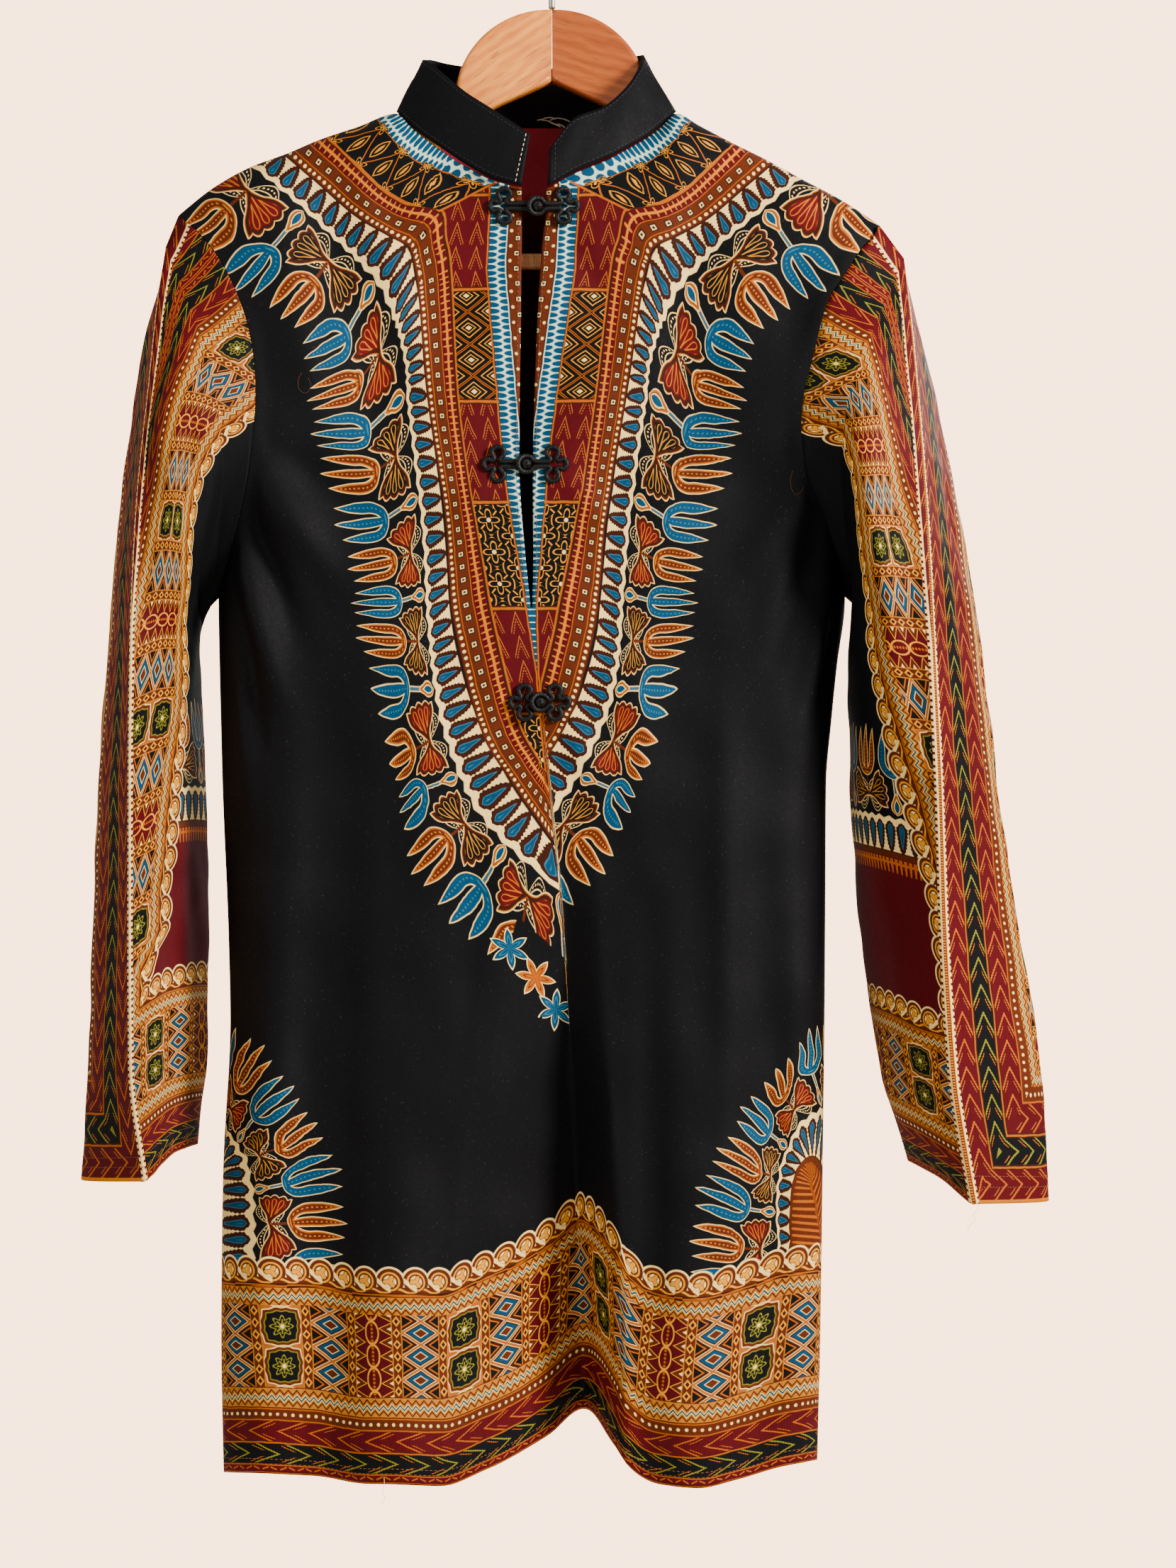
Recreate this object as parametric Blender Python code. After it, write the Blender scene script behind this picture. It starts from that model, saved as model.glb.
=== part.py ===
"""Dashiki tunic hanging on a wooden hanger, in metres, +Z up, +Y away from the viewer.

The origin is the top of the hook's inside, where a rail carries it. The tables hold what a viewer
measures across the cloth at VIEW_DISTANCE; place() moves each point out along the line of sight, so
that near and far layers keep those sizes.
"""
import math

import bmesh
import bpy
import numpy as np

WALL = 0.0016            # cloth, turned and pressed
SEAM_GAP = 0.0003
SLEEVE_GAP = {-1: 0.0017, 1: 0.0021}   # from the armhole's edge to the sleeve's standing wall
LOW_GAP = {-1: 0.0012, 1: 0.0020}      # more of it where the armhole turns round under the arm
VIEW_DISTANCE = 1.60     # viewer to the hanger's plane
TABLE_DEPTH = -0.030     # depth of the cloth that the tables were measured on
VIEW_X = 0.023
VIEW_Z = -0.555

ARM_LEAN = 0.15          # the hanger's arms come forward
ARM_THICK = 0.012
ARM_SEAT = 0.0024        # from the middle of the shoulder cloth down to the wood
BAR_RADIUS = 0.005
BAR_DEPTH = -0.0272
BAR_HEIGHT = -0.2280
WIRE_RADIUS = 0.0021
HOOK_RADIUS = 0.0240

UNDERARM = -0.4395
SLIT_END = -0.4430
FRONT_DEPTH = -0.0430
BACK_DEPTH = 0.0340
SIDE_TURN = 0.050        # width over which a panel turns in to its side seam
SHOULDER_TURN = 0.022    # drop over which a panel turns over the arm
ROWS = 23                # even rows of a panel, the same at front and back so that seams match

CORD_RADIUS = 0.0012
KNOT_RADIUS = 0.0027

# height, the seam lines of the body left and right (the armholes above UNDERARM), the line of the
# front slit, half its opening, the depth of the side seam, and of the armhole's two edges
BODY = {
    "columns": ("z", "left", "right", "centre", "open", "seam", "front_edge", "back_edge"),
    "rows": (
        (-0.1000, -0.2323, 0.2048, -0.0108, 0.0078, -0.033, -0.0330, -0.0330),
        (-0.1990, -0.2323, 0.2048, -0.0108, 0.0075, -0.033, -0.0362, -0.0308),
        (-0.2087, -0.2220, 0.2040, -0.0115, 0.0068, -0.032, -0.0430, -0.0225),
        (-0.2214, -0.2107, 0.1930, -0.0122, 0.0062, -0.031, -0.0475, -0.0140),
        (-0.2371, -0.2014, 0.1830, -0.0128, 0.0058, -0.030, -0.0500, -0.0080),
        (-0.2513, -0.1950, 0.1735, -0.0133, 0.0054, -0.029, -0.0510, -0.0050),
        (-0.2719, -0.1887, 0.1675, -0.0140, 0.0050, -0.027, -0.0515, -0.0030),
        (-0.2910, -0.1857, 0.1630, -0.0146, 0.0048, -0.025, -0.0520, 0.0000),
        (-0.3116, -0.1847, 0.1580, -0.0151, 0.0046, -0.023, -0.0520, 0.0020),
        (-0.3351, -0.1862, 0.1563, -0.0155, 0.0044, -0.021, -0.0510, 0.0040),
        (-0.3591, -0.1887, 0.1590, -0.0157, 0.0042, -0.018, -0.0480, 0.0050),
        (-0.3840, -0.1935, 0.1690, -0.0150, 0.0036, -0.015, -0.0400, 0.0050),
        (-0.4100, -0.2000, 0.1775, -0.0138, 0.0026, -0.012, -0.0290, 0.0020),
        (-0.4280, -0.2050, 0.1820, -0.0130, 0.0016, -0.010, -0.0180, -0.0040),
        (-0.4395, -0.2073, 0.1830, -0.0126, 0.0008, -0.009, -0.0100, -0.0082),
        (-0.4811, -0.2066, 0.1780, -0.0090, 0.0000, -0.007, -0.0074, -0.0067),
        (-0.5154, -0.2058, 0.1745, -0.0060, 0.0000, -0.006, -0.0060, -0.0060),
        (-0.5546, -0.2048, 0.1712, -0.0020, 0.0000, -0.006, -0.0060, -0.0060),
        (-0.6500, -0.2010, 0.1706, 0.0070, 0.0000, -0.006, -0.0060, -0.0060),
        (-0.7016, -0.1999, 0.1702, 0.0110, 0.0000, -0.006, -0.0060, -0.0060),
        (-0.7996, -0.2045, 0.1690, 0.0190, 0.0000, -0.006, -0.0060, -0.0060),
        (-0.8976, -0.2056, 0.1676, 0.0203, 0.0000, -0.006, -0.0060, -0.0060),
        (-1.0000, -0.2038, 0.1651, 0.0206, 0.0000, -0.006, -0.0060, -0.0060),
    ),
}

# top edge of the front: both shoulders, and the neckline between the two neck points
TOP = {
    "columns": ("x", "z", "y"),
    "rows": (
        (-0.2323, -0.1999, -0.0348),
        (-0.2112, -0.1832, -0.0317),
        (-0.1887, -0.1705, -0.0283),
        (-0.1637, -0.1611, -0.0246),
        (-0.1455, -0.1533, -0.0218),
        (-0.1200, -0.1447, -0.0180),
        (-0.0965, -0.1366, -0.0145),
        (-0.0880, -0.1450, -0.0250),
        (-0.0784, -0.1528, -0.0340),
        (-0.0534, -0.1695, -0.0450),
        (-0.0353, -0.1788, -0.0480),
        (-0.0183, -0.1827, -0.0490),
        (-0.0033, -0.1832, -0.0490),
        (0.0098, -0.1763, -0.0480),
        (0.0392, -0.1631, -0.0430),
        (0.0617, -0.1504, -0.0300),
        (0.0700, -0.1440, -0.0210),
        (0.0779, -0.1366, -0.0117),
        (0.0920, -0.1440, -0.0138),
        (0.1107, -0.1538, -0.0166),
        (0.1362, -0.1665, -0.0204),
        (0.1568, -0.1778, -0.0235),
        (0.1793, -0.1896, -0.0269),
        (0.2048, -0.2060, -0.0307),
    ),
}
NECK_LEFT = -0.0965
NECK_RIGHT = 0.0779

# the same line at the back of the neck
BACK_NECK = {
    "columns": ("x", "z", "y"),
    "rows": (
        (-0.0965, -0.1366, -0.0145),
        (-0.0900, -0.1385, -0.0010),
        (-0.0780, -0.1405, 0.0130),
        (-0.0560, -0.1425, 0.0260),
        (-0.0300, -0.1440, 0.0330),
        (-0.0090, -0.1445, 0.0350),
        (0.0120, -0.1440, 0.0335),
        (0.0370, -0.1425, 0.0270),
        (0.0590, -0.1405, 0.0140),
        (0.0710, -0.1385, 0.0010),
        (0.0779, -0.1366, -0.0117),
    ),
}

# lower edge of the front, whose middle is drawn up into the deep fold, and of the back
HEM = {
    "columns": ("x", "front", "back"),
    "rows": (
        (-0.2038, -0.9850, -0.9850),
        (-0.1485, -0.9868, -0.9740),
        (-0.1140, -0.9922, -0.9660),
        (-0.0700, -0.9930, -0.9560),
        (-0.0400, -0.9825, -0.9490),
        (-0.0015, -0.9613, -0.9430),
        (0.0206, -0.9456, -0.9410),
        (0.0420, -0.9690, -0.9430),
        (0.0480, -0.9810, -0.9440),
        (0.0670, -0.9930, -0.9480),
        (0.0920, -0.9955, -0.9550),
        (0.1160, -0.9896, -0.9630),
        (0.1455, -0.9808, -0.9730),
        (0.1651, -0.9774, -0.9774),
    ),
}

# folds: the line a fold follows down the panel, its reach to each side at its ends, its depth
# (away from the viewer) and how sharp its bottom is (1 a crease, 2 soft)
FRONT_FOLDS = {
    "columns": ("z_top", "z_bottom", "x_top", "x_bottom", "left_top", "left_bottom",
                "right_top", "right_bottom", "depth", "soft"),
    "rows": (
        (-0.520, -0.960, 0.0060, 0.0206, 0.040, 0.088, 0.020, 0.026, 0.062, 1.0),
        (-0.280, -0.900, -0.1380, -0.1500, 0.030, 0.036, 0.034, 0.040, 0.009, 2.0),
        (-0.640, -0.960, -0.0950, -0.0980, 0.030, 0.044, 0.030, 0.040, -0.013, 2.0),
        (-0.600, -0.960, 0.0800, 0.0860, 0.024, 0.034, 0.030, 0.044, -0.012, 2.0),
        (-0.300, -0.800, 0.1260, 0.1300, 0.024, 0.026, 0.024, 0.030, 0.007, 2.0),
    ),
}
BACK_FOLDS = {
    "columns": FRONT_FOLDS["columns"],
    "rows": (
        (-0.330, -0.970, -0.1150, -0.1240, 0.030, 0.046, 0.034, 0.050, 0.012, 2.0),
        (-0.420, -0.970, -0.0260, -0.0200, 0.034, 0.040, 0.030, 0.042, 0.010, 2.0),
        (-0.360, -0.970, 0.0820, 0.0900, 0.032, 0.044, 0.034, 0.044, 0.012, 2.0),
    ),
}

# collar: share of the band from its left front end round the back to its right one, then the
# base and the top edge
COLLAR = {
    "columns": ("share", "x", "y", "z", "top_x", "top_y", "top_z"),
    "rows": (
        (0.000, -0.0186, -0.0492, -0.1822, -0.0132, -0.0480, -0.1504),
        (0.050, -0.0353, -0.0482, -0.1783, -0.0230, -0.0470, -0.1438),
        (0.100, -0.0534, -0.0452, -0.1690, -0.0372, -0.0440, -0.1345),
        (0.150, -0.0670, -0.0405, -0.1600, -0.0534, -0.0390, -0.1240),
        (0.200, -0.0784, -0.0340, -0.1523, -0.0655, -0.0310, -0.1140),
        (0.240, -0.0880, -0.0250, -0.1445, -0.0750, -0.0200, -0.1060),
        (0.280, -0.0960, -0.0140, -0.1366, -0.0795, -0.0100, -0.1040),
        (0.320, -0.0900, -0.0010, -0.1380, -0.0750, 0.0010, -0.1040),
        (0.370, -0.0780, 0.0130, -0.1400, -0.0650, 0.0130, -0.1062),
        (0.440, -0.0560, 0.0260, -0.1420, -0.0500, 0.0250, -0.1082),
        (0.520, -0.0090, 0.0350, -0.1440, -0.0090, 0.0340, -0.1095),
        (0.600, 0.0370, 0.0270, -0.1420, 0.0300, 0.0260, -0.1070),
        (0.670, 0.0590, 0.0140, -0.1400, 0.0450, 0.0140, -0.1040),
        (0.720, 0.0710, 0.0010, -0.1380, 0.0530, 0.0020, -0.1015),
        (0.760, 0.0775, -0.0112, -0.1366, 0.0570, -0.0090, -0.1010),
        (0.800, 0.0700, -0.0210, -0.1436, 0.0560, -0.0200, -0.1055),
        (0.850, 0.0617, -0.0300, -0.1500, 0.0490, -0.0300, -0.1180),
        (0.900, 0.0392, -0.0430, -0.1626, 0.0330, -0.0410, -0.1330),
        (0.950, 0.0150, -0.0475, -0.1732, 0.0150, -0.0470, -0.1400),
        (1.000, -0.0020, -0.0492, -0.1822, -0.0010, -0.0500, -0.1600),
    ),
}

# sleeves: share of the way down, then four lines along each: the pressed ridge towards the
# viewer, the middle of the front face, the underarm and the outermost line of the back face
SLEEVE_LEFT = {
    "columns": ("share", "ridge_x", "ridge_y", "ridge_z", "face_x", "face_y", "face_z",
                "under_x", "under_y", "under_z", "outer_x", "outer_y", "outer_z"),
    "rows": (
        (0.08, -0.2405, -0.0430, -0.2200, -0.2080, -0.0620, -0.3200,
         -0.2135, -0.0080, -0.4440, -0.2440, -0.0080, -0.2800),
        (0.16, -0.2450, -0.0510, -0.2500, -0.2200, -0.0680, -0.3400,
         -0.2175, -0.0020, -0.4520, -0.2570, 0.0060, -0.3080),
        (0.28, -0.2510, -0.0590, -0.3060, -0.2310, -0.0680, -0.3800,
         -0.2200, 0.0080, -0.4660, -0.2650, 0.0180, -0.3600),
        (0.40, -0.2590, -0.0640, -0.3850, -0.2380, -0.0560, -0.4300,
         -0.2190, 0.0170, -0.4900, -0.2725, 0.0230, -0.4250),
        (0.50, -0.2625, -0.0670, -0.4600, -0.2400, -0.0400, -0.4900,
         -0.2175, 0.0250, -0.5300, -0.2780, 0.0200, -0.4950),
        (0.62, -0.2636, -0.0680, -0.5500, -0.2400, -0.0290, -0.5650,
         -0.2155, 0.0310, -0.5900, -0.2835, 0.0140, -0.5700),
        (0.75, -0.2636, -0.0670, -0.6400, -0.2400, -0.0230, -0.6450,
         -0.2150, 0.0330, -0.6600, -0.2857, 0.0080, -0.6500),
        (0.88, -0.2630, -0.0650, -0.7300, -0.2400, -0.0190, -0.7250,
         -0.2160, 0.0330, -0.7250, -0.2890, 0.0040, -0.7350),
        (1.00, -0.2538, -0.0620, -0.8035, -0.2360, -0.0160, -0.7860,
         -0.2220, 0.0290, -0.7800, -0.2930, 0.0000, -0.8021),
    ),
}
SLEEVE_RIGHT = {
    "columns": SLEEVE_LEFT["columns"],
    "rows": (
        (0.08, 0.2200, -0.0440, -0.2270, 0.1830, -0.0680, -0.3300,
         0.1955, -0.0080, -0.4480, 0.2260, -0.0080, -0.2900),
        (0.16, 0.2230, -0.0530, -0.2560, 0.1890, -0.0750, -0.3550,
         0.1940, -0.0010, -0.4580, 0.2385, 0.0080, -0.3200),
        (0.28, 0.2280, -0.0640, -0.3100, 0.1940, -0.0780, -0.3900,
         0.1900, 0.0080, -0.4720, 0.2490, 0.0180, -0.3650),
        (0.40, 0.2340, -0.0720, -0.3900, 0.1980, -0.0700, -0.4400,
         0.1875, 0.0160, -0.4950, 0.2620, 0.0200, -0.4320),
        (0.50, 0.2380, -0.0760, -0.4700, 0.2010, -0.0540, -0.5000,
         0.1880, 0.0230, -0.5400, 0.2715, 0.0160, -0.4950),
        (0.62, 0.2420, -0.0770, -0.5600, 0.2060, -0.0380, -0.5800,
         0.1910, 0.0280, -0.6050, 0.2810, 0.0080, -0.5750),
        (0.75, 0.2445, -0.0750, -0.6450, 0.2120, -0.0280, -0.6600,
         0.1990, 0.0290, -0.6750, 0.2920, 0.0020, -0.6500),
        (0.88, 0.2500, -0.0720, -0.7350, 0.2200, -0.0240, -0.7350,
         0.2085, 0.0280, -0.7350, 0.3065, -0.0020, -0.7400),
        (1.00, 0.2631, -0.0690, -0.8177, 0.2400, -0.0240, -0.7990,
         0.2240, 0.0240, -0.7900, 0.3107, -0.0040, -0.8150),
    ),
}
ARMHOLE_MARKS = (0.0, 0.45, 1.0, 1.20, 1.58, 2.0)    # where ridge, face, underarm, rear, outer start

# the hanger's half, along its own arm: top from the hump's side on, then the end and the underside
HUMP_RADIUS = 0.0630
HUMP_TOP = -0.0630
ARM_NECK = ((0.0615, -0.1130), (0.0655, -0.1260), (0.0730, -0.1370))
ARM_END = ((0.1915, -0.2110), (0.1925, -0.2240), (0.1895, -0.2345), (0.1835, -0.2380),
           (0.1770, -0.2350), (0.1765, -0.2190))
ARM_UNDER = ((0.1640, -0.2085), (0.1400, -0.1965), (0.1100, -0.1800), (0.0850, -0.1645),
             (0.0600, -0.1430), (0.0386, -0.1274), (0.0180, -0.1172), (0.0003, -0.1085))

# frogs: height on the slit, and how far the clovers stand to each side of it
FROGS = {
    "columns": ("z", "left", "right", "knot", "tilt"),
    "rows": (
        (-0.1937, -0.0190, 0.0190, 0.0020, 0.00),
        (-0.3550, -0.0180, 0.0170, 0.0000, 0.00),
        (-0.5040, -0.0100, 0.0100, 0.0000, 0.00),
    ),
}
CLOVER = ((9.0, 1.5), (3.4, 1.6), (1.9, 3.2), (4.4, 6.6), (3.2, 9.8), (-0.4, 10.6), (-3.2, 8.6),
          (-3.0, 5.6), (-1.9, 3.4), (-3.6, 2.2), (-6.6, 3.2), (-8.6, 0.0), (-6.6, -3.2),
          (-3.6, -2.2), (-1.9, -3.4), (-3.0, -5.6), (-3.2, -8.6), (-0.4, -10.6), (3.2, -9.8),
          (4.4, -6.6), (1.9, -3.2), (3.4, -1.6), (9.0, -1.5))

BLACK = (0.012, 0.012, 0.015)
PRINT = (0.16, 0.055, 0.03)
WOOD = (0.62, 0.36, 0.17)
STEEL = (0.60, 0.60, 0.60)


def read(table, name, at):
    """Value of a named column at a key, by a cubic that never overshoots the rows."""
    place_of = table["columns"].index(name)
    keys = np.array([row[0] for row in table["rows"]])
    values = np.array([row[place_of] for row in table["rows"]])
    if keys[0] > keys[-1]:
        keys = keys[::-1]
        values = values[::-1]
    at = min(max(at, keys[0]), keys[-1])
    steps = np.diff(keys)
    slopes = np.diff(values) / steps
    tangents = np.zeros(len(keys))
    for i in range(1, len(keys) - 1):
        if slopes[i - 1] * slopes[i] > 0:
            before = 2 * steps[i] + steps[i - 1]
            after = steps[i] + 2 * steps[i - 1]
            tangents[i] = (before + after) / (before / slopes[i - 1] + after / slopes[i])
    tangents[0] = slopes[0]
    tangents[-1] = slopes[-1]
    i = int(min(max(np.searchsorted(keys, at) - 1, 0), len(steps) - 1))
    t = (at - keys[i]) / steps[i]
    low = (1 + 2 * t) * (1 - t) ** 2 * values[i] + t * (1 - t) ** 2 * steps[i] * tangents[i]
    high = t * t * (3 - 2 * t) * values[i + 1] - t * t * (1 - t) * steps[i] * tangents[i + 1]
    return float(low + high)


def blend(start, end, at):
    share = min(max((at - start) / (end - start), 0.0), 1.0)
    return share * share * (3 - 2 * share)


def place(x, y, z):
    """Real position of what is measured at (x, z) on the tables' plane and lies at depth y."""
    scale = (VIEW_DISTANCE + y) / (VIEW_DISTANCE + TABLE_DEPTH)
    return (VIEW_X + (x - VIEW_X) * scale, y, VIEW_Z + (z - VIEW_Z) * scale)


def fold_depth(folds, x, z):
    """How far a panel's folds carry it away from the viewer at (x, z)."""
    total = 0.0
    for row in folds["rows"]:
        fold = dict(zip(folds["columns"], row))
        share = blend(-fold["z_top"], -fold["z_bottom"], -z)
        line = fold["x_top"] + (fold["x_bottom"] - fold["x_top"]) * share
        side = "left" if x < line else "right"
        reach = fold[side + "_top"] + (fold[side + "_bottom"] - fold[side + "_top"]) * share
        away = abs(x - line) / reach
        if away < 1:
            if fold["soft"] > 1.5:
                shape = 0.5 + 0.5 * math.cos(math.pi * away)
            else:
                shape = 1 - math.sin(0.5 * math.pi * away) * (0.55 + 0.45 * away)
            total += fold["depth"] * share * shape
    return total


def turned(x, z, middle, edge):
    """Depth of a panel that turns in to its seam lines: gently at the armholes, round below."""
    left = (x - read(BODY, "left", z)) / SIDE_TURN
    right = (read(BODY, "right", z) - x) / SIDE_TURN
    away = min(max(min(left, right), 0.0), 1.0)
    open_edge = 1 - (1 - away) ** 2
    round_edge = math.sqrt(max(open_edge, 0.0))
    share = open_edge + (round_edge - open_edge) * blend(0.39, 0.45, -z)
    return edge + (middle - edge) * share


def front_point(half, across, down):
    """Middle of the front's cloth: half -1 left or 1 right, across 0 at the seam to 1 at the
    slit, down in metres for the first rows and as a share of the rest after them."""
    edge = "left" if half < 0 else "right"
    corner = read(BODY, edge, -0.1)
    slit = read(BODY, "centre", -0.18) + half * read(BODY, "open", -0.18)
    top_x = corner + (slit - corner) * across
    top_z = read(TOP, "z", top_x)
    top_y = read(TOP, "y", top_x)
    bottom_z = read(HEM, "front", hem_x(half, across))
    z = row_height(top_z, bottom_z, down)
    seam = read(BODY, edge, z)
    middle = read(BODY, "centre", z) + half * read(BODY, "open", z)
    x = seam + (middle - seam) * across
    flat = FRONT_DEPTH - 0.008 * blend(0.10, 0.20, abs(x)) * blend(0.55, 0.30, -z)
    body = turned(x, z, flat, read(BODY, "front_edge", z)) + fold_depth(FRONT_FOLDS, x, z)
    over = min(max((top_z - z) / SHOULDER_TURN, 0.0), 1.0)
    y = top_y + (body - top_y) * math.sqrt(max(1 - (1 - over) ** 2, 0.0))
    return place(x, y, z)


def hem_x(half, across):
    edge = "left" if half < 0 else "right"
    seam = read(BODY, edge, -0.98)
    return seam + (read(BODY, "centre", -0.98) - seam) * across


def back_point(across, down):
    """Middle of the back's cloth: across 0 at the left seam to 1 at the right one."""
    left = read(BODY, "left", -0.1)
    right = read(BODY, "right", -0.1)
    top_x = left + (right - left) * across
    if NECK_LEFT < top_x < NECK_RIGHT:
        top_z = read(BACK_NECK, "z", top_x)
        top_y = read(BACK_NECK, "y", top_x)
    else:
        top_z = read(TOP, "z", top_x)
        top_y = read(TOP, "y", top_x)
    low_left = read(BODY, "left", -0.98)
    low_right = read(BODY, "right", -0.98)
    bottom_z = read(HEM, "back", low_left + (low_right - low_left) * across)
    z = row_height(top_z, bottom_z, down)
    seam_left = read(BODY, "left", z)
    x = seam_left + (read(BODY, "right", z) - seam_left) * across
    flat = BACK_DEPTH - 0.020 * blend(0.08, 0.21, abs(x)) * blend(0.50, 0.20, -z)
    body = turned(x, z, flat, read(BODY, "back_edge", z)) + fold_depth(BACK_FOLDS, x, z)
    over = min(max((top_z - z) / SHOULDER_TURN, 0.0), 1.0)
    y = top_y + (body - top_y) * math.sqrt(max(1 - (1 - over) ** 2, 0.0))
    return place(x, y + 2.6 * SEAM_GAP, z)


FIRST_ROWS = (0.0, 0.0007, 0.0022, 0.0052, 0.0105, 0.0190)


def row_height(top, bottom, down):
    """Rows close under the top edge, where the cloth turns over the arm, and even ones below."""
    whole = int(down)
    if whole < len(FIRST_ROWS) - 1:
        share = down - whole
        return top - FIRST_ROWS[whole] * (1 - share) - FIRST_ROWS[whole + 1] * share
    start = top - FIRST_ROWS[-1]
    return start + (bottom - start) * (down - len(FIRST_ROWS) + 1)


def row_list(count):
    rows = [float(i) for i in range(len(FIRST_ROWS) - 1)]
    return rows + [len(FIRST_ROWS) - 1 + i / count for i in range(count + 1)]


def colour(name, rgb, roughness, metallic=0.0):
    material = bpy.data.materials.new(name)
    material.use_nodes = True
    shader = material.node_tree.nodes["Principled BSDF"]
    shader.inputs["Base Color"].default_value = (*rgb, 1.0)
    shader.inputs["Roughness"].default_value = roughness
    shader.inputs["Metallic"].default_value = metallic
    material.diffuse_color = (*rgb, 1.0)
    return material


def add(name, points, faces, material, smooth=True):
    mesh = bpy.data.meshes.new(name)
    mesh.from_pydata([tuple(point) for point in points], [], faces)
    mesh.validate()
    item = bpy.data.objects.new(name, mesh)
    bpy.context.scene.collection.objects.link(item)
    mesh.materials.append(material)
    if smooth:
        mesh.shade_smooth()
    return item


def thicken(item):
    """Give a sheet its wall, evenly to both sides."""
    wall = item.modifiers.new("Wall", "SOLIDIFY")
    wall.thickness = WALL
    wall.offset = 0.0
    wall.use_even_offset = False
    wall.use_rim = True
    return item


def flip(faces):
    return [tuple(reversed(face)) for face in faces]


def grid_faces(columns, rows, closed=False):
    """Faces of points stored row by row."""
    faces = []
    last = columns if closed else columns - 1
    for j in range(rows - 1):
        for i in range(last):
            k = (i + 1) % columns
            faces.append((j * columns + i, j * columns + k, (j + 1) * columns + k,
                          (j + 1) * columns + i))
    return faces


def build_front(material):
    """One panel whose two halves share the line below the slit and part along it."""
    left = (0.0, 0.006, 0.02, 0.045, 0.09, 0.16, 0.25, 0.34, 0.43, 0.53, 0.6355, 0.71, 0.79, 0.87,
            0.94, 1.0)
    right = (1.0, 0.95, 0.90, 0.84, 0.77, 0.69, 0.611, 0.51, 0.41, 0.31, 0.22, 0.14, 0.08, 0.04,
             0.018, 0.006, 0.0)
    rows = row_list(ROWS)
    points = []
    index = {}
    for j, down in enumerate(rows):
        for half, shares in ((-1, left), (1, right)):
            for i, across in enumerate(shares):
                point = front_point(half, across, down)
                closed = point[2] < place(0, FRONT_DEPTH, SLIT_END)[2]
                if half > 0 and i == 0 and closed:
                    index[(j, half, i)] = index[(j, -1, len(left) - 1)]
                    continue
                index[(j, half, i)] = len(points)
                points.append(point)
    faces = []
    for j in range(len(rows) - 1):
        for half, shares in ((-1, left), (1, right)):
            for i in range(len(shares) - 1):
                faces.append((index[(j, half, i)], index[(j + 1, half, i)],
                              index[(j + 1, half, i + 1)], index[(j, half, i + 1)]))
    return thicken(add("front", points, faces, material))


def build_back(material):
    neck_left = (NECK_LEFT + 0.2323) / 0.4371
    neck_right = (NECK_RIGHT + 0.2323) / 0.4371
    inner = (0.10, 0.25, 0.42, 0.58, 0.75, 0.90)
    shares = [0.0, 0.004, 0.014, 0.038, 0.09, 0.19, neck_left]
    shares += [neck_left + (neck_right - neck_left) * share for share in inner]
    shares += [neck_right, 0.80, 0.90, 0.96, 0.986, 0.996, 1.0]
    rows = row_list(ROWS)
    points = [back_point(across, down) for down in rows for across in shares]
    return thicken(add("back", points, grid_faces(len(shares), len(rows)), material))


def build_collar(material):
    shares = [i / 30 for i in range(31)]
    levels = (0.0, 0.35, 0.7, 1.0)
    points = []
    for level in levels:
        for share in shares:
            low = [read(COLLAR, name, share) for name in ("x", "y", "z")]
            high = [read(COLLAR, name, share) for name in ("top_x", "top_y", "top_z")]
            mixed = [a + (b - a) * level for a, b in zip(low, high)]
            bulge = 0.0015 * math.sin(math.pi * level)
            x, y, z = place(*mixed)
            points.append((x, y - bulge * (1 if y < -0.012 else -1), z + 0.0016))
    return thicken(add("collar", points, flip(grid_faces(len(shares), len(levels))), material))


def armhole_point(side, around):
    """Edge of the armhole: around 0 at the shoulder, 1 under the arm at the front, 2 back at the
    shoulder along the rear."""
    around = min(max(around, 0.0), 2.0)
    edge = "left" if side < 0 else "right"
    share = around if around <= 1 else 2 - around
    top = -0.1999 if side < 0 else -0.2060
    z = top + (UNDERARM - top) * share
    name = "front_edge" if around <= 1 else "back_edge"
    return [read(BODY, edge, z), read(BODY, name, z), z]


def sleeve_lines(table, share):
    """The five lines' points at one share of the sleeve's length."""
    lines = []
    for name in ("ridge", "face", "under", "rear", "outer"):
        if name == "rear":
            under = [read(table, "under_" + axis, share) for axis in "xyz"]
            outer = [read(table, "outer_" + axis, share) for axis in "xyz"]
            point = np.array([(a + b) / 2 for a, b in zip(under, outer)])
            point[1] += 0.013
        else:
            point = np.array([read(table, name + "_" + axis, share) for axis in "xyz"])
        lines.append(point)
    return lines


def through(points, at):
    """Smooth closed curve through points, with a corner at the first one."""
    count = len(points)
    i = int(at) % count
    t = at - int(at)
    here = points[i]
    after = points[(i + 1) % count]
    before = points[i - 1] if i > 0 else here * 1.5 - after * 0.5
    beyond = points[(i + 2) % count] if i < count - 1 else after * 1.5 - here * 0.5
    first = (after - before) * 0.5
    second = (beyond - here) * 0.5
    return ((1 + 2 * t) * (1 - t) ** 2 * here + t * (1 - t) ** 2 * first
            + t * t * (3 - 2 * t) * after - t * t * (1 - t) * second)


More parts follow.
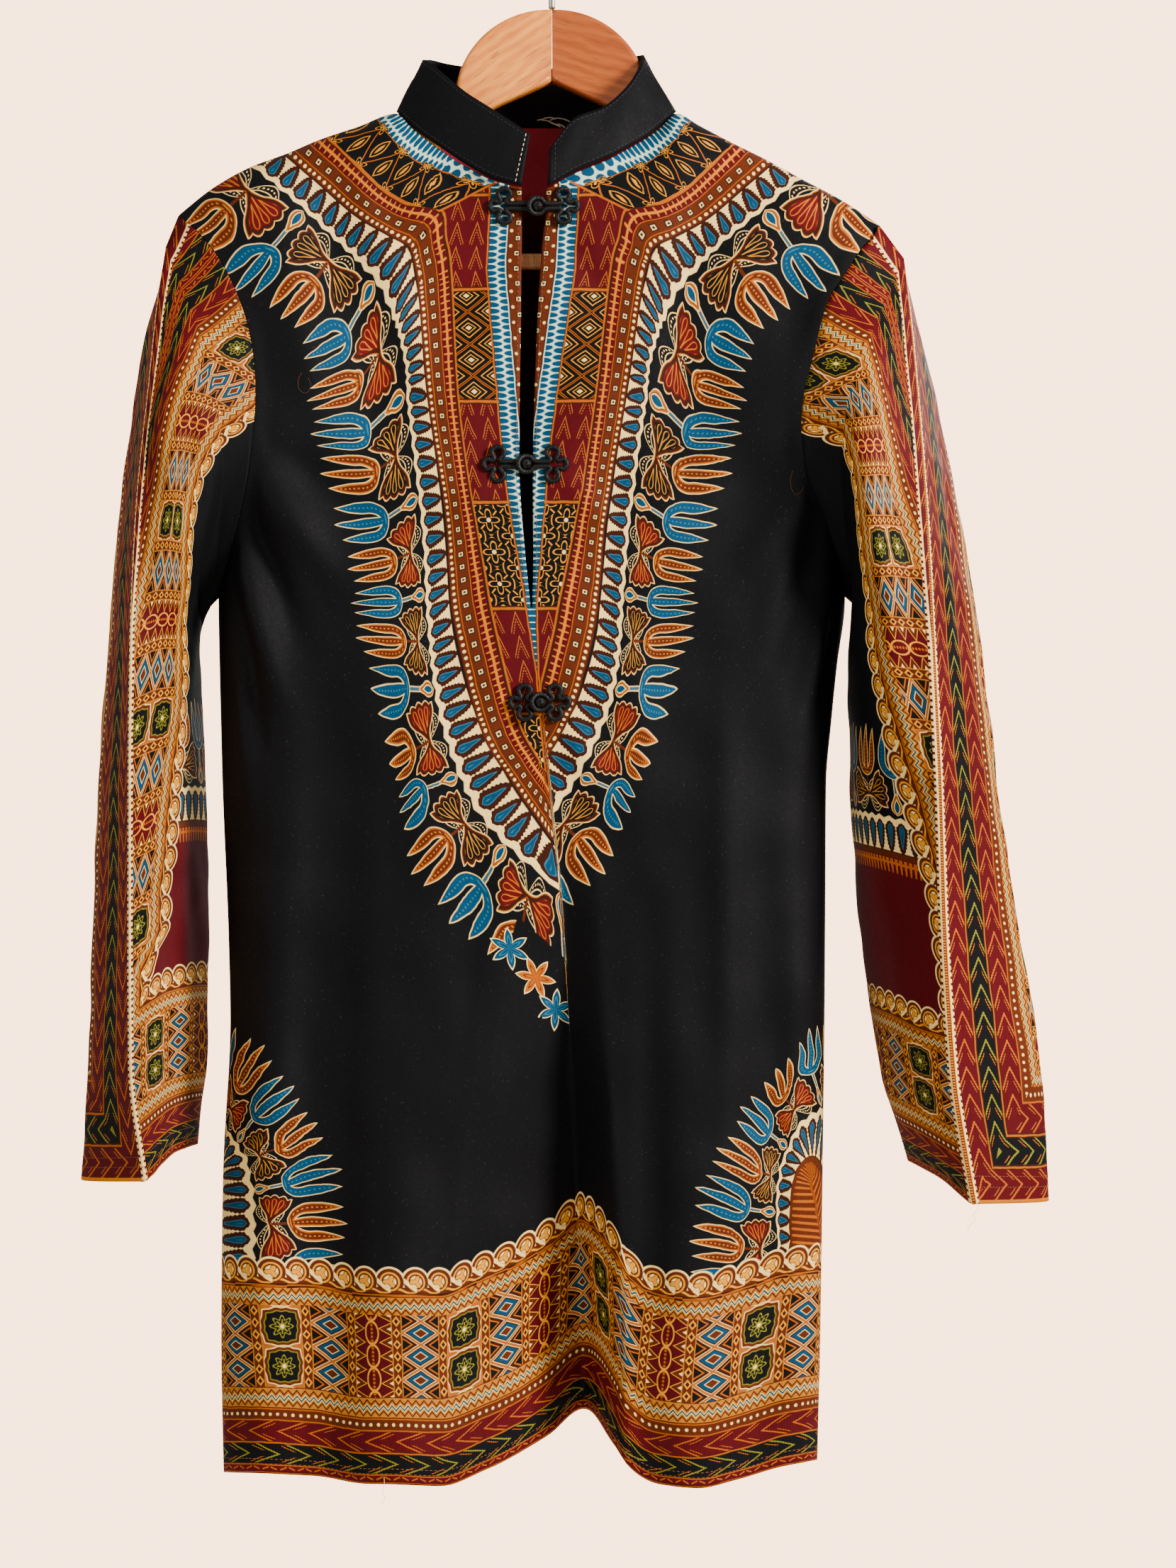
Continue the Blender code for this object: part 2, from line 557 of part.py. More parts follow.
def sleeve_point(table, side, share, around):
    """Middle of the sleeve's cloth: share 0 at the armhole to 1 at the cuff, around 0 to 5."""
    first = table["rows"][0][0]
    ring = through(sleeve_lines(table, max(share, first)), around)
    if share >= first:
        return ring
    i = min(int(around), 4)
    mark = ARMHOLE_MARKS[i] + (ARMHOLE_MARKS[i + 1] - ARMHOLE_MARKS[i]) * (around - i)
    edge = np.array(armhole_point(side, mark))
    along = np.array(armhole_point(side, mark + 0.01)) - np.array(armhole_point(side, mark - 0.01))
    along = along / np.linalg.norm(along)
    away = ring - edge
    away = away - along * float(np.dot(away, along))
    low = blend(0.5, 0.9, 1 - abs(mark - 1))
    start = edge + away / np.linalg.norm(away) * (SLEEVE_GAP[side] + LOW_GAP[side] * low)
    return start + (ring - start) * (share / first)


def build_sleeve(name, table, side, material):
    shares = (0.0, 0.035, 0.08, 0.12, 0.16, 0.20, 0.24, 0.29, 0.34, 0.40, 0.46, 0.53, 0.61,
              0.69, 0.77, 0.85, 0.93, 1.0)
    arounds = (0.0, 0.07, 0.20, 0.42, 0.70, 1.0, 1.25, 1.5, 1.75, 2.0, 2.25, 2.5, 2.75, 3.0, 3.3,
               3.6, 3.85, 4.1, 4.35, 4.6, 4.8, 4.93)
    points = []
    for share in shares:
        for around in arounds:
            points.append(place(*sleeve_point(table, side, share, around)))
    faces = grid_faces(len(arounds), len(shares), closed=True)
    if side > 0:
        faces = flip(faces)
    return thicken(add(name, points, faces, material))


def arm_outline():
    """Outline of the hanger's right half along its arm, the top taken from the shoulder cloth."""
    stretch = math.sqrt(1 + ARM_LEAN ** 2)
    outline = [(0.00015, HUMP_TOP)]
    for degrees in (15, 30, 44, 57, 69):
        turn = math.radians(degrees)
        outline.append((HUMP_RADIUS * math.sin(turn),
                        HUMP_TOP - HUMP_RADIUS * (1 - math.cos(turn))))
    outline += ARM_NECK
    for x in (0.0920, 0.0990, 0.1107, 0.1240, 0.1362, 0.1465, 0.1568, 0.1680, 0.1793, 0.1850):
        spot = place(x, read(TOP, "y", x), read(TOP, "z", x))
        outline.append((spot[0] * stretch, spot[2] - ARM_SEAT))
    outline += ARM_END
    outline += ARM_UNDER
    return outline


def build_half(name, side, material):
    """Half of the hanger: its outline extruded, with rounded edges, and turned forward."""
    outline = arm_outline()
    shape = bmesh.new()
    ring = [shape.verts.new((u, -ARM_THICK / 2, z)) for u, z in outline]
    face = shape.faces.new(ring)
    grown = bmesh.ops.extrude_face_region(shape, geom=[face])
    moved = [item for item in grown["geom"] if isinstance(item, bmesh.types.BMVert)]
    bmesh.ops.translate(shape, vec=(0, ARM_THICK, 0), verts=moved)
    long_edges = [edge for edge in shape.edges
                  if abs(edge.verts[0].co.y - edge.verts[1].co.y) < 1e-6
                  and min(edge.verts[0].co.x, edge.verts[1].co.x) > 0.001]
    bmesh.ops.bevel(shape, geom=long_edges, offset=0.0026, segments=1, affect="EDGES")
    lean = math.atan(ARM_LEAN)
    for vert in shape.verts:
        u, y, z = vert.co
        x = u * math.cos(lean) + (y * math.sin(lean) if u > 0.004 else 0.0)
        vert.co = (side * max(x, 0.00015), y * math.cos(lean) - u * math.sin(lean), z)
    bmesh.ops.recalc_face_normals(shape, faces=shape.faces)
    if shape.calc_volume(signed=True) < 0:
        bmesh.ops.reverse_faces(shape, faces=shape.faces)
    mesh = bpy.data.meshes.new(name)
    shape.to_mesh(mesh)
    shape.free()
    item = bpy.data.objects.new(name, mesh)
    bpy.context.scene.collection.objects.link(item)
    mesh.materials.append(material)
    return item


def build_cord(name, path, radius, material, cyclic=False, rings=1):
    """Round cord along a path."""
    curve = bpy.data.curves.new(name, "CURVE")
    curve.dimensions = "3D"
    spline = curve.splines.new("POLY")
    spline.points.add(len(path) - 1)
    for point, spot in zip(spline.points, path):
        point.co = (*spot, 1.0)
    spline.use_cyclic_u = cyclic
    curve.bevel_depth = radius
    curve.bevel_resolution = rings
    curve.use_fill_caps = not cyclic
    item = bpy.data.objects.new(name, curve)
    bpy.context.scene.collection.objects.link(item)
    curve.materials.append(material)
    return item


def build_hook(material):
    """Wire hook: a straight shank out of the wood, then round to an open end."""
    reach = HOOK_RADIUS + WIRE_RADIUS
    centre = WIRE_RADIUS - reach
    path = []
    shank_top = centre - reach * 0.9
    for i in range(5):
        path.append((0.0, 0.0, HUMP_TOP + SEAM_GAP + (shank_top - 0.004 - HUMP_TOP) * i / 5))
    for i in range(5):
        share = i / 4
        turn = math.radians(-62 * share)
        path.append((reach * 0.80 * share ** 1.6, 0.0,
                     shank_top - 0.002 + 0.010 * share + 0.001 * math.sin(turn)))
    for i in range(1, 22):
        turn = math.radians(-32 + 232 * i / 21)
        path.append((reach * math.cos(turn), 0.0, centre + reach * math.sin(turn)))
    return build_cord("hanger_hook", path, WIRE_RADIUS, material, rings=2)


def cloth_depth(x, z):
    """Depth of the front's cloth at a measured (x, z), with the slit bridged."""
    half = -1 if x < read(BODY, "centre", z) else 1
    flat = FRONT_DEPTH
    near_top = min(max((read(TOP, "z", x) - z) / SHOULDER_TURN, 0.0), 1.0)
    top_y = read(TOP, "y", x)
    body = flat + fold_depth(FRONT_FOLDS, x, z)
    return top_y + (body - top_y) * math.sqrt(max(1 - (1 - near_top) ** 2, 0.0)) if half else flat


def build_frog(number, row, material):
    """A frog: clover of cord with a ball knot on the left, clover with a loop on the right."""
    frog = dict(zip(FROGS["columns"], row))
    middle = read(BODY, "centre", frog["z"])
    lift = WALL / 2 + CORD_RADIUS + 0.0005
    knot_x = middle + frog["knot"]
    for side in (-1, 1):
        start = middle + (frog["left"] if side < 0 else frog["right"])
        shape = [(u / 1000, w / 1000, 0.0) for u, w in CLOVER]
        gap = abs(knot_x - start)
        if side < 0:
            shape[0] = (gap - 0.0043, 0.0015, 0.0)
            shape[-1] = (gap - 0.0043, -0.0015, 0.0)
        else:
            shape[0] = (gap - 0.0055, 0.0018, 0.0)
            shape[-1] = (gap - 0.0055, -0.0018, 0.0)
            shape += [(gap - 0.0026, -0.0044, 0.0), (gap + 0.0014, -0.0048, 0.0008),
                      (gap + 0.0040, -0.0030, 0.0024), (gap + 0.0050, 0.0, 0.0030),
                      (gap + 0.0040, 0.0030, 0.0024), (gap + 0.0014, 0.0048, 0.0008),
                      (gap - 0.0026, 0.0044, 0.0)]
        path = []
        for u, w, raised in shape:
            across = u * math.cos(frog["tilt"]) - w * math.sin(frog["tilt"])
            up = u * math.sin(frog["tilt"]) + w * math.cos(frog["tilt"])
            x = start - side * across
            z = frog["z"] + up
            depth = min(cloth_depth(x, z), cloth_depth(start, frog["z"]) + 0.001)
            path.append(place(x, depth - lift - raised, z))
        build_cord("frog_%d_%s" % (number, "left" if side < 0 else "right"), path, CORD_RADIUS,
                   material, cyclic=True, rings=1)
    mesh = bpy.data.meshes.new("frog_%d_knot" % number)
    ball = bmesh.new()
    bmesh.ops.create_uvsphere(ball, u_segments=10, v_segments=6, radius=KNOT_RADIUS)
    ball.to_mesh(mesh)
    ball.free()
    mesh.shade_smooth()
    mesh.materials.append(material)
    knot = bpy.data.objects.new("frog_%d_knot" % number, mesh)
    bpy.context.scene.collection.objects.link(knot)
    depth = cloth_depth(knot_x, frog["z"])
    knot.location = place(knot_x, depth - lift - 0.0010, frog["z"])


def build():
    for item in list(bpy.data.objects):
        bpy.data.objects.remove(item, do_unlink=True)
    cloth = colour("Printed cotton", PRINT, 0.8)
    black = colour("Black cotton", BLACK, 0.75)
    wood = colour("Varnished beech", WOOD, 0.35)
    steel = colour("Steel wire", STEEL, 0.25, 1.0)
    cord = colour("Black cord", BLACK, 0.6)
    build_front(cloth)
    build_back(black)
    build_collar(black)
    build_sleeve("sleeve_left", SLEEVE_LEFT, -1, cloth)
    build_sleeve("sleeve_right", SLEEVE_RIGHT, 1, cloth)
    build_half("hanger_left", -1, wood)
    build_half("hanger_right", 1, wood)
    bar_end = 0.1765 * math.cos(math.atan(ARM_LEAN)) - 0.0007
    turns = 12
    ends = []
    for x in (-bar_end, bar_end):
        for i in range(turns):
            turn = 2 * math.pi * i / turns
            ends.append((x, BAR_DEPTH + BAR_RADIUS * math.cos(turn),
                         BAR_HEIGHT + BAR_RADIUS * math.sin(turn)))
    faces = [(i, i + turns, (i + 1) % turns + turns, (i + 1) % turns) for i in range(turns)]
    faces += [tuple(range(turns)), tuple(reversed(range(turns, 2 * turns)))]
    add("hanger_bar", ends, flip(faces), wood)
    build_hook(steel)
    for number, row in enumerate(FROGS["rows"], 1):
        build_frog(number, row, cord)


build()
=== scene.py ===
import math
import random

import bmesh
import bpy
import numpy as np
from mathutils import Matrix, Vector
from mathutils.bvhtree import BVHTree


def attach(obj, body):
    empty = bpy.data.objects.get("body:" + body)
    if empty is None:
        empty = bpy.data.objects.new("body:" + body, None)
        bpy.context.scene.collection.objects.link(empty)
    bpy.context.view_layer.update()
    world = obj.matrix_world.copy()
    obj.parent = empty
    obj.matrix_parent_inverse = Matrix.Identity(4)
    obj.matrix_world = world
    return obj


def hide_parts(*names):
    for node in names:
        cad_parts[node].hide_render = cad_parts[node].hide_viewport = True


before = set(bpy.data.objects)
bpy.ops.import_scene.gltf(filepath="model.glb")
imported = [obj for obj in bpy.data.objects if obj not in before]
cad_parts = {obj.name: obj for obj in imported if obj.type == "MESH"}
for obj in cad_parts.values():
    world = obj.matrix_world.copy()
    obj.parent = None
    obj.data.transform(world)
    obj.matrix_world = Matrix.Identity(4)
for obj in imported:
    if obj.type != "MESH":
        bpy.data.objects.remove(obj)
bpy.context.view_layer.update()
print("frame loaded:", len(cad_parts), "nodes")

# the tables hold what a viewer measures across the cloth, on one plane; place() moves each point
# out along the line of sight, so near and far layers keep those sizes
view = {"distance": 1.60, "tableDepth": -0.030, "x": 0.023, "z": -0.555,
        "frameHeight": 0.9799, "sensor": 36.0}

sides = {-1: "left", 1: "right"}


def metres(kept, *rows):
    # the tables' whole tenths of a millimetre in metres, after the first values kept as they are
    return tuple(row[:kept] + tuple(value / 10000 for value in row[kept:]) for row in rows)


body = {
    "columns": ("z", "left", "right", "centre", "open", "frontEdge", "backEdge"),
    "rows": metres(0,
        (-1000, -2323, 2048, -108, 78, -330, -330), (-1990, -2323, 2048, -108, 75, -362, -308),
        (-2087, -2220, 2040, -115, 68, -430, -225), (-2214, -2107, 1930, -122, 62, -475, -140),
        (-2371, -2014, 1830, -128, 58, -500, -80), (-2513, -1950, 1735, -133, 54, -510, -50),
        (-2719, -1887, 1675, -140, 50, -515, -30), (-2910, -1857, 1630, -146, 48, -520, 0),
        (-3116, -1847, 1580, -151, 46, -520, 20), (-3351, -1862, 1563, -155, 44, -510, 40),
        (-3591, -1887, 1590, -157, 42, -480, 50), (-3840, -1935, 1690, -150, 36, -400, 50),
        (-4100, -2000, 1775, -138, 26, -290, 20), (-4280, -2050, 1820, -130, 16, -180, -40),
        (-4395, -2073, 1830, -126, 8, -100, -82), (-4811, -2066, 1780, -90, 0, -74, -67),
        (-5154, -2058, 1745, -60, 0, -60, -60), (-5546, -2048, 1712, -20, 0, -60, -60),
        (-6500, -2010, 1706, 70, 0, -60, -60), (-7016, -1999, 1702, 110, 0, -60, -60),
        (-7996, -2045, 1690, 190, 0, -60, -60), (-8976, -2056, 1676, 203, 0, -60, -60),
        (-10000, -2038, 1651, 206, 0, -60, -60)),
}
# top edge of the front: both shoulders, and the neckline between the two neck points
topEdge = {
    "columns": ("x", "z", "y"),
    "rows": metres(0,
        (-2323, -1999, -348), (-2112, -1832, -317), (-1887, -1705, -283), (-1637, -1611, -246),
        (-1455, -1533, -218), (-1200, -1447, -180), (-965, -1366, -145), (-880, -1450, -250),
        (-784, -1528, -340), (-534, -1695, -450), (-353, -1788, -480), (-183, -1827, -490),
        (-33, -1832, -490), (98, -1763, -480), (392, -1631, -430), (617, -1504, -300),
        (700, -1440, -210), (779, -1366, -117), (920, -1440, -138), (1107, -1538, -166),
        (1362, -1665, -204), (1568, -1778, -235), (1793, -1896, -269), (2048, -2060, -307)),
}
backNeck = {
    "columns": ("x", "z", "y"),
    "rows": metres(0,
        (-965, -1366, -145), (-900, -1385, -10), (-780, -1405, 130), (-560, -1425, 260),
        (-300, -1440, 330), (-90, -1445, 350), (120, -1440, 335), (370, -1425, 270), (590, -1405, 140),
        (710, -1385, 10), (779, -1366, -117)),
}
hem = {
    "columns": ("x", "front", "back"),
    "rows": metres(0,
        (-2038, -9850, -9850), (-1485, -9868, -9740), (-1140, -9922, -9660), (-700, -9930, -9560),
        (-400, -9825, -9490), (-15, -9613, -9430), (206, -9456, -9410), (420, -9690, -9430),
        (480, -9810, -9440), (670, -9930, -9480), (920, -9955, -9550), (1160, -9896, -9630),
        (1455, -9808, -9730), (1651, -9774, -9774)),
}
# each fold: 1 for a crease or 2 for a soft wave; its top and bottom height; the line's x, the reach
# to the left and the reach to the right, each at the top and at the bottom; the depth away
frontFolds = metres(1,
    (1, -5200, -9600, 60, 206, 400, 880, 200, 260, 620),
    (2, -2800, -9000, -1380, -1500, 300, 360, 340, 400, 90),
    (2, -6400, -9600, -950, -980, 300, 440, 300, 400, -130),
    (2, -6000, -9600, 800, 860, 240, 340, 300, 440, -120),
    (2, -3000, -8000, 1260, 1300, 240, 260, 240, 300, 70))
backFolds = metres(1,
    (2, -3300, -9700, -1150, -1240, 300, 460, 340, 500, 120),
    (2, -4200, -9700, -260, -200, 340, 400, 300, 420, 100),
    (2, -3600, -9700, 820, 900, 320, 440, 340, 440, 120))
panel = {"frontDepth": -0.0430, "backDepth": 0.0340, "sideTurn": 0.050, "shoulderTurn": 0.022,
         "wall": 0.0013, "slitEnd": -0.4430, "underarm": -0.4395, "neckLeft": -0.0965,
         "neckRight": 0.0779, "stitchLift": 0.00075, "frogReach": 0.017,
         "frontRows": 259, "frontColumns": {-1: 76, 1: 70}, "backRows": 177, "backColumns": 104}
# lines of points for the stitches, filled in as the cloth is made
seams = {name: [] for name in ("front", "back", "cuff_left", "cuff_right", "collar", "collar_end")}


def columnOf(table, name):
    return np.array([row[table["columns"].index(name)] for row in table["rows"]], float)


def read(table, name, at):
    # a cubic through the rows that never overshoots them
    keys = columnOf(table, table["columns"][0])
    values = columnOf(table, name)
    if keys[0] > keys[-1]:
        keys, values = keys[::-1], values[::-1]
    at = np.clip(at, keys[0], keys[-1])
    steps = np.diff(keys)
    slopes = np.diff(values) / steps
    tangents = np.zeros(len(keys))
    for i in range(1, len(keys) - 1):
        if slopes[i - 1] * slopes[i] > 0:
            before = 2 * steps[i] + steps[i - 1]
            after = steps[i] + 2 * steps[i - 1]
            tangents[i] = (before + after) / (before / slopes[i - 1] + after / slopes[i])
    tangents[0], tangents[-1] = slopes[0], slopes[-1]
    i = np.clip(np.searchsorted(keys, at) - 1, 0, len(steps) - 1)
    t = (at - keys[i]) / steps[i]
    return ((1 + 2 * t) * (1 - t) ** 2 * values[i] + t * (1 - t) ** 2 * steps[i] * tangents[i]
            + t * t * (3 - 2 * t) * values[i + 1] - t * t * (1 - t) * steps[i] * tangents[i + 1])


def blend(start, end, at):
    share = np.clip((at - start) / (end - start), 0.0, 1.0)
    return share * share * (3 - 2 * share)


def place(x, y, z):
    scale = (view["distance"] + y) / (view["distance"] + view["tableDepth"])
    return np.stack([view["x"] + (x - view["x"]) * scale, y + 0.0 * scale,
                     view["z"] + (z - view["z"]) * scale], -1)


def partWay(start, end, share):
    return start + (end - start) * share


def foldDepth(folds, x, z):
    total = np.zeros(np.broadcast(x, z).shape)
    for soft, zTop, zBottom, *ends, depth in folds:
        share = blend(-zTop, -zBottom, -z)
        line, leftReach, rightReach = (partWay(*ends[k:k + 2], share) for k in (0, 2, 4))
        away = np.clip(np.abs(x - line) / np.where(x < line, leftReach, rightReach), 0, 1)
        if soft == 2:
            shape = 0.5 + 0.5 * np.cos(np.pi * away)
        else:
            shape = np.where(away < 1, 1 - np.sin(0.5 * np.pi * away) * (0.55 + 0.45 * away), 0.0)
        total = total + depth * share * shape
    return total


def turned(x, z, middle, edge):
    # a panel turns in to its seam lines: gently at the armholes, round below
    inward = np.minimum(x - read(body, "left", z), read(body, "right", z) - x)
    openEdge = 1 - (1 - np.clip(inward / panel["sideTurn"], 0, 1)) ** 2
    return partWay(edge, middle, partWay(openEdge, np.sqrt(openEdge), blend(0.39, 0.45, -z)))


def frontDepth(x, z):
    flat = panel["frontDepth"] - 0.008 * blend(0.10, 0.20, np.abs(x)) * blend(0.55, 0.30, -z)
    return turned(x, z, flat, read(body, "frontEdge", z)) + foldDepth(frontFolds, x, z)


def backDepth(x, z):
    flat = panel["backDepth"] - 0.020 * blend(0.08, 0.21, np.abs(x)) * blend(0.50, 0.20, -z)
    return turned(x, z, flat, read(body, "backEdge", z)) + foldDepth(backFolds, x, z)


def overShoulder(topY, depth, drop):
    over = np.clip(drop / panel["shoulderTurn"], 0, 1)
    return partWay(topY, depth, np.sqrt(1 - (1 - over) ** 2))


firstDrops = (0.0, 0.0006, 0.0014, 0.0024, 0.0037, 0.0052, 0.0073, 0.0100, 0.0130, 0.0160, 0.0190)


def rowHeights(top, bottom, rows):
    # close rows where the cloth turns over the arm, and even ones below
    drops = np.array(firstDrops + (firstDrops[-1],) * rows)[:, None]
    shares = np.concatenate([np.zeros(len(firstDrops)), np.arange(1, rows + 1) / rows])[:, None]
    return partWay(top - drops, bottom, shares)


def frontSheet(half, across, rows):
    # one half of the front from its seam to the slit
    def middle(z):
        return read(body, "centre", z) + half * read(body, "open", z)

    edge = sides[half]
    topX = partWay(read(body, edge, -0.1), middle(-0.18), across)
    hemX = partWay(read(body, edge, -0.98), read(body, "centre", -0.98), across)
    return panelSheet(across, rows, read(topEdge, "z", topX), read(topEdge, "y", topX),
                      read(hem, "front", hemX), lambda z: read(body, edge, z), middle, frontDepth)


def panelSheet(across, rows, topZ, topY, bottomZ, first, last, depthOf):
    # apparent x, depth and z of a panel, row by row, and the hem's height below
    z = rowHeights(topZ, bottomZ, rows)
    x = partWay(first(z), last(z), across)
    return x, overShoulder(topY, depthOf(x, z), topZ - z), z, np.broadcast_to(bottomZ, z.shape)


def backSheet(across, rows):
    left, right = (lambda z, name=name: read(body, name, z) for name in ("left", "right"))
    topX = partWay(left(-0.1), right(-0.1), across)
    inNeck = (topX > panel["neckLeft"]) & (topX < panel["neckRight"])
    topZ, topY = (np.where(inNeck, read(backNeck, name, topX), read(topEdge, name, topX))
                  for name in ("z", "y"))
    bottomZ = read(hem, "back", partWay(left(-0.98), right(-0.98), across))
    return panelSheet(across, rows, topZ, topY, bottomZ, left, right, backDepth)


def runLength(*axes):
    # the length along each line of points, up to each point
    steps = np.sqrt(sum(np.diff(axis) ** 2 for axis in axes))
    return np.concatenate([np.zeros((*steps.shape[:-1], 1)), np.cumsum(steps, axis=-1)], axis=-1)


def evenAcross(depthOf, first, last, count):
    # shares across a panel that are even along the cloth, over its folds
    shares = np.linspace(0, 1, 600)
    total = np.zeros(len(shares))
    for z in (-0.35, -0.60, -0.80, -0.93):
        x = partWay(read(body, first, z), read(body, last, z), shares)
        arc = runLength(x, depthOf(x, np.full(len(x), z)))
        total += arc / arc[-1]
    even = np.interp(np.linspace(0, 1, count), total / total[-1], shares)
    even[0], even[-1] = 0.0, 1.0
    return even


# arc lengths across the front from its centre line, in millimetres, at fixed heights
arcX = np.linspace(-0.2400, 0.2150, 911)
arcZ = np.linspace(-1.02, -0.12, 226)


def arcTable(depthOf, centreOf):
    table = []
    for z in arcZ:
        arc = runLength(arcX, depthOf(arcX, np.full(len(arcX), z)))
        table.append((arc - np.interp(centreOf(z), arcX, arc)) * 1000)
    return np.array(table)


def arcAt(table, x, z):
    i = np.clip((x - arcX[0]) / (arcX[1] - arcX[0]), 0, len(arcX) - 1.001)
    j = np.clip((z - arcZ[0]) / (arcZ[1] - arcZ[0]), 0, len(arcZ) - 1.001)
    i0, j0 = i.astype(int), j.astype(int)
    low, high = (partWay(table[row, i0], table[row, i0 + 1], i - i0) for row in (j0, j0 + 1))
    return partWay(low, high, j - j0)


frontArc = arcTable(frontDepth, lambda z: read(body, "centre", z))
backArc = arcTable(backDepth, lambda z: read(body, "centre", -0.98))


# across from the centre line, then down from the shoulder line, for each edge of a band
neckRails = ((98, 57, 106, 61, 135, 77), (89, 68, 96, 71, 124, 87), (81, 78, 87, 84, 109, 100),
             (67, 87, 74, 95, 94, 114), (51, 93, 58, 101, 75, 124), (38, 100, 43, 107, 66, 126),
             (22, 108, 29, 111, 59, 127))
combRails = ((158, 59, 173, 79), (124, 87, 139, 106), (98, 112, 111, 130), (80, 123, 91, 142),
             (59, 127, 77, 150), (55, 145, 74, 159), (51, 163, 71, 172), (44, 243, 62, 245),
             (35, 308, 52, 311), (27, 372, 50, 380), (17, 441, 39, 451), (6, 469, 24, 482),
             (0, 478, 10, 506), (0, 482, 0, 522))
dropRails = ((173, 79, 185, 93), (139, 106, 150, 121), (111, 130, 120, 147), (91, 142, 106, 161),
             (77, 150, 94, 175), (72, 168, 85, 194), (68, 190, 81, 205), (65, 221, 76, 227),
             (62, 243, 75, 245), (53, 308, 67, 311), (51, 372, 66, 381), (48, 407, 66, 415),
             (40, 442, 62, 453), (25, 480, 50, 495), (13, 502, 33, 520), (4, 517, 16, 537),
             (0, 523, 0, 551))
# the flowers' count along the band comes first
flowerRails = (
    (-0.8, 185, 93, 207, 113, 228, 135), (-0.42, 165, 108, 191, 131, 210, 153),
    (-0.12, 150, 121, 172, 150, 190, 174), (0.19, 135, 134, 155, 159, 171, 186),
    (0.5, 120, 147, 137, 173, 153, 197), (0.8, 106, 161, 122, 192, 143, 212),
    (1.08, 94, 175, 113, 212, 139, 227), (1.38, 85, 194, 108, 229, 138, 243),
    (1.72, 80, 216, 105, 247, 136, 256), (2.05, 75, 245, 101, 269, 134, 271),
    (2.42, 72, 269, 96, 287, 129, 289), (3.08, 67, 311, 90, 325, 119, 331),
    (3.64, 66, 345, 85, 353, 112, 360), (4.26, 66, 381, 83, 384, 113, 384),
    (4.84, 66, 415, 83, 413, 106, 415), (5.22, 64, 438, 84, 442, 102, 451),
    (5.5, 62, 453, 84, 466, 97, 477), (6.05, 55, 482, 79, 491, 94, 508),
    (6.32, 50, 495, 73, 511, 94, 533), (6.62, 42, 508, 64, 526, 86, 551),
    (6.93, 33, 520, 53, 546, 73, 570), (7.2, 24, 528, 41, 564, 57, 590),
    (7.5, 16, 537, 27, 579, 38, 601), (7.78, 7, 545, 13, 592, 20, 621),
    (8.0, 0, 551, 0, 604, 0, 650))
# side arches above the hem: the same bands, in from the side seam and down
leftArch = ((1.0, 0, 792, 20, 792, 45, 788, 77, 785), (1.5, 0, 760, 20, 760, 44, 759, 77, 757),
            (2.0, 0, 739, 19, 739, 40, 734, 73, 723), (2.5, 0, 726, 16, 721, 36, 711, 55, 694),
            (3.0, -1, 721, 8, 709, 20, 692, 39, 671), (3.5, -2, 719, 1, 699, 7, 673, 20, 646),
            (4.0, -5, 717, -5, 692, -4, 661, -1, 628))
rightArch = ((1.0, 19, 801, 27, 801, 52, 799, 84, 796), (1.5, 19, 776, 27, 776, 52, 775, 82, 768),
             (2.0, 19, 753, 28, 753, 49, 750, 78, 734), (2.5, 17, 732, 27, 732, 40, 727, 65, 710),
             (3.0, 12, 721, 21, 713, 34, 703, 51, 684), (3.5, 8, 718, 12, 695, 24, 680, 27, 661),
             (4.0, 4, 719, 1, 687, 8, 662, 8, 636), (4.5, 0, 726, -9, 686, -9, 659, -7, 633))
shoulderLine = -0.070     # height that the print's downward measures start from


def curved(before, here, after, beyond, t):
    # a point of a smooth curve between the middle two of four points
    return 0.5 * (2 * here + (after - before) * t
                  + (2 * before - 5 * here + 4 * after - beyond) * t * t
                  + (3 * here - before - 3 * after + beyond) * t ** 3)


def fourRound(points, i, closed=False):
    count = len(points)
    return [points[(i + k) % count if closed else min(max(i + k, 0), count - 1)]
            for k in (-1, 0, 1, 2)]


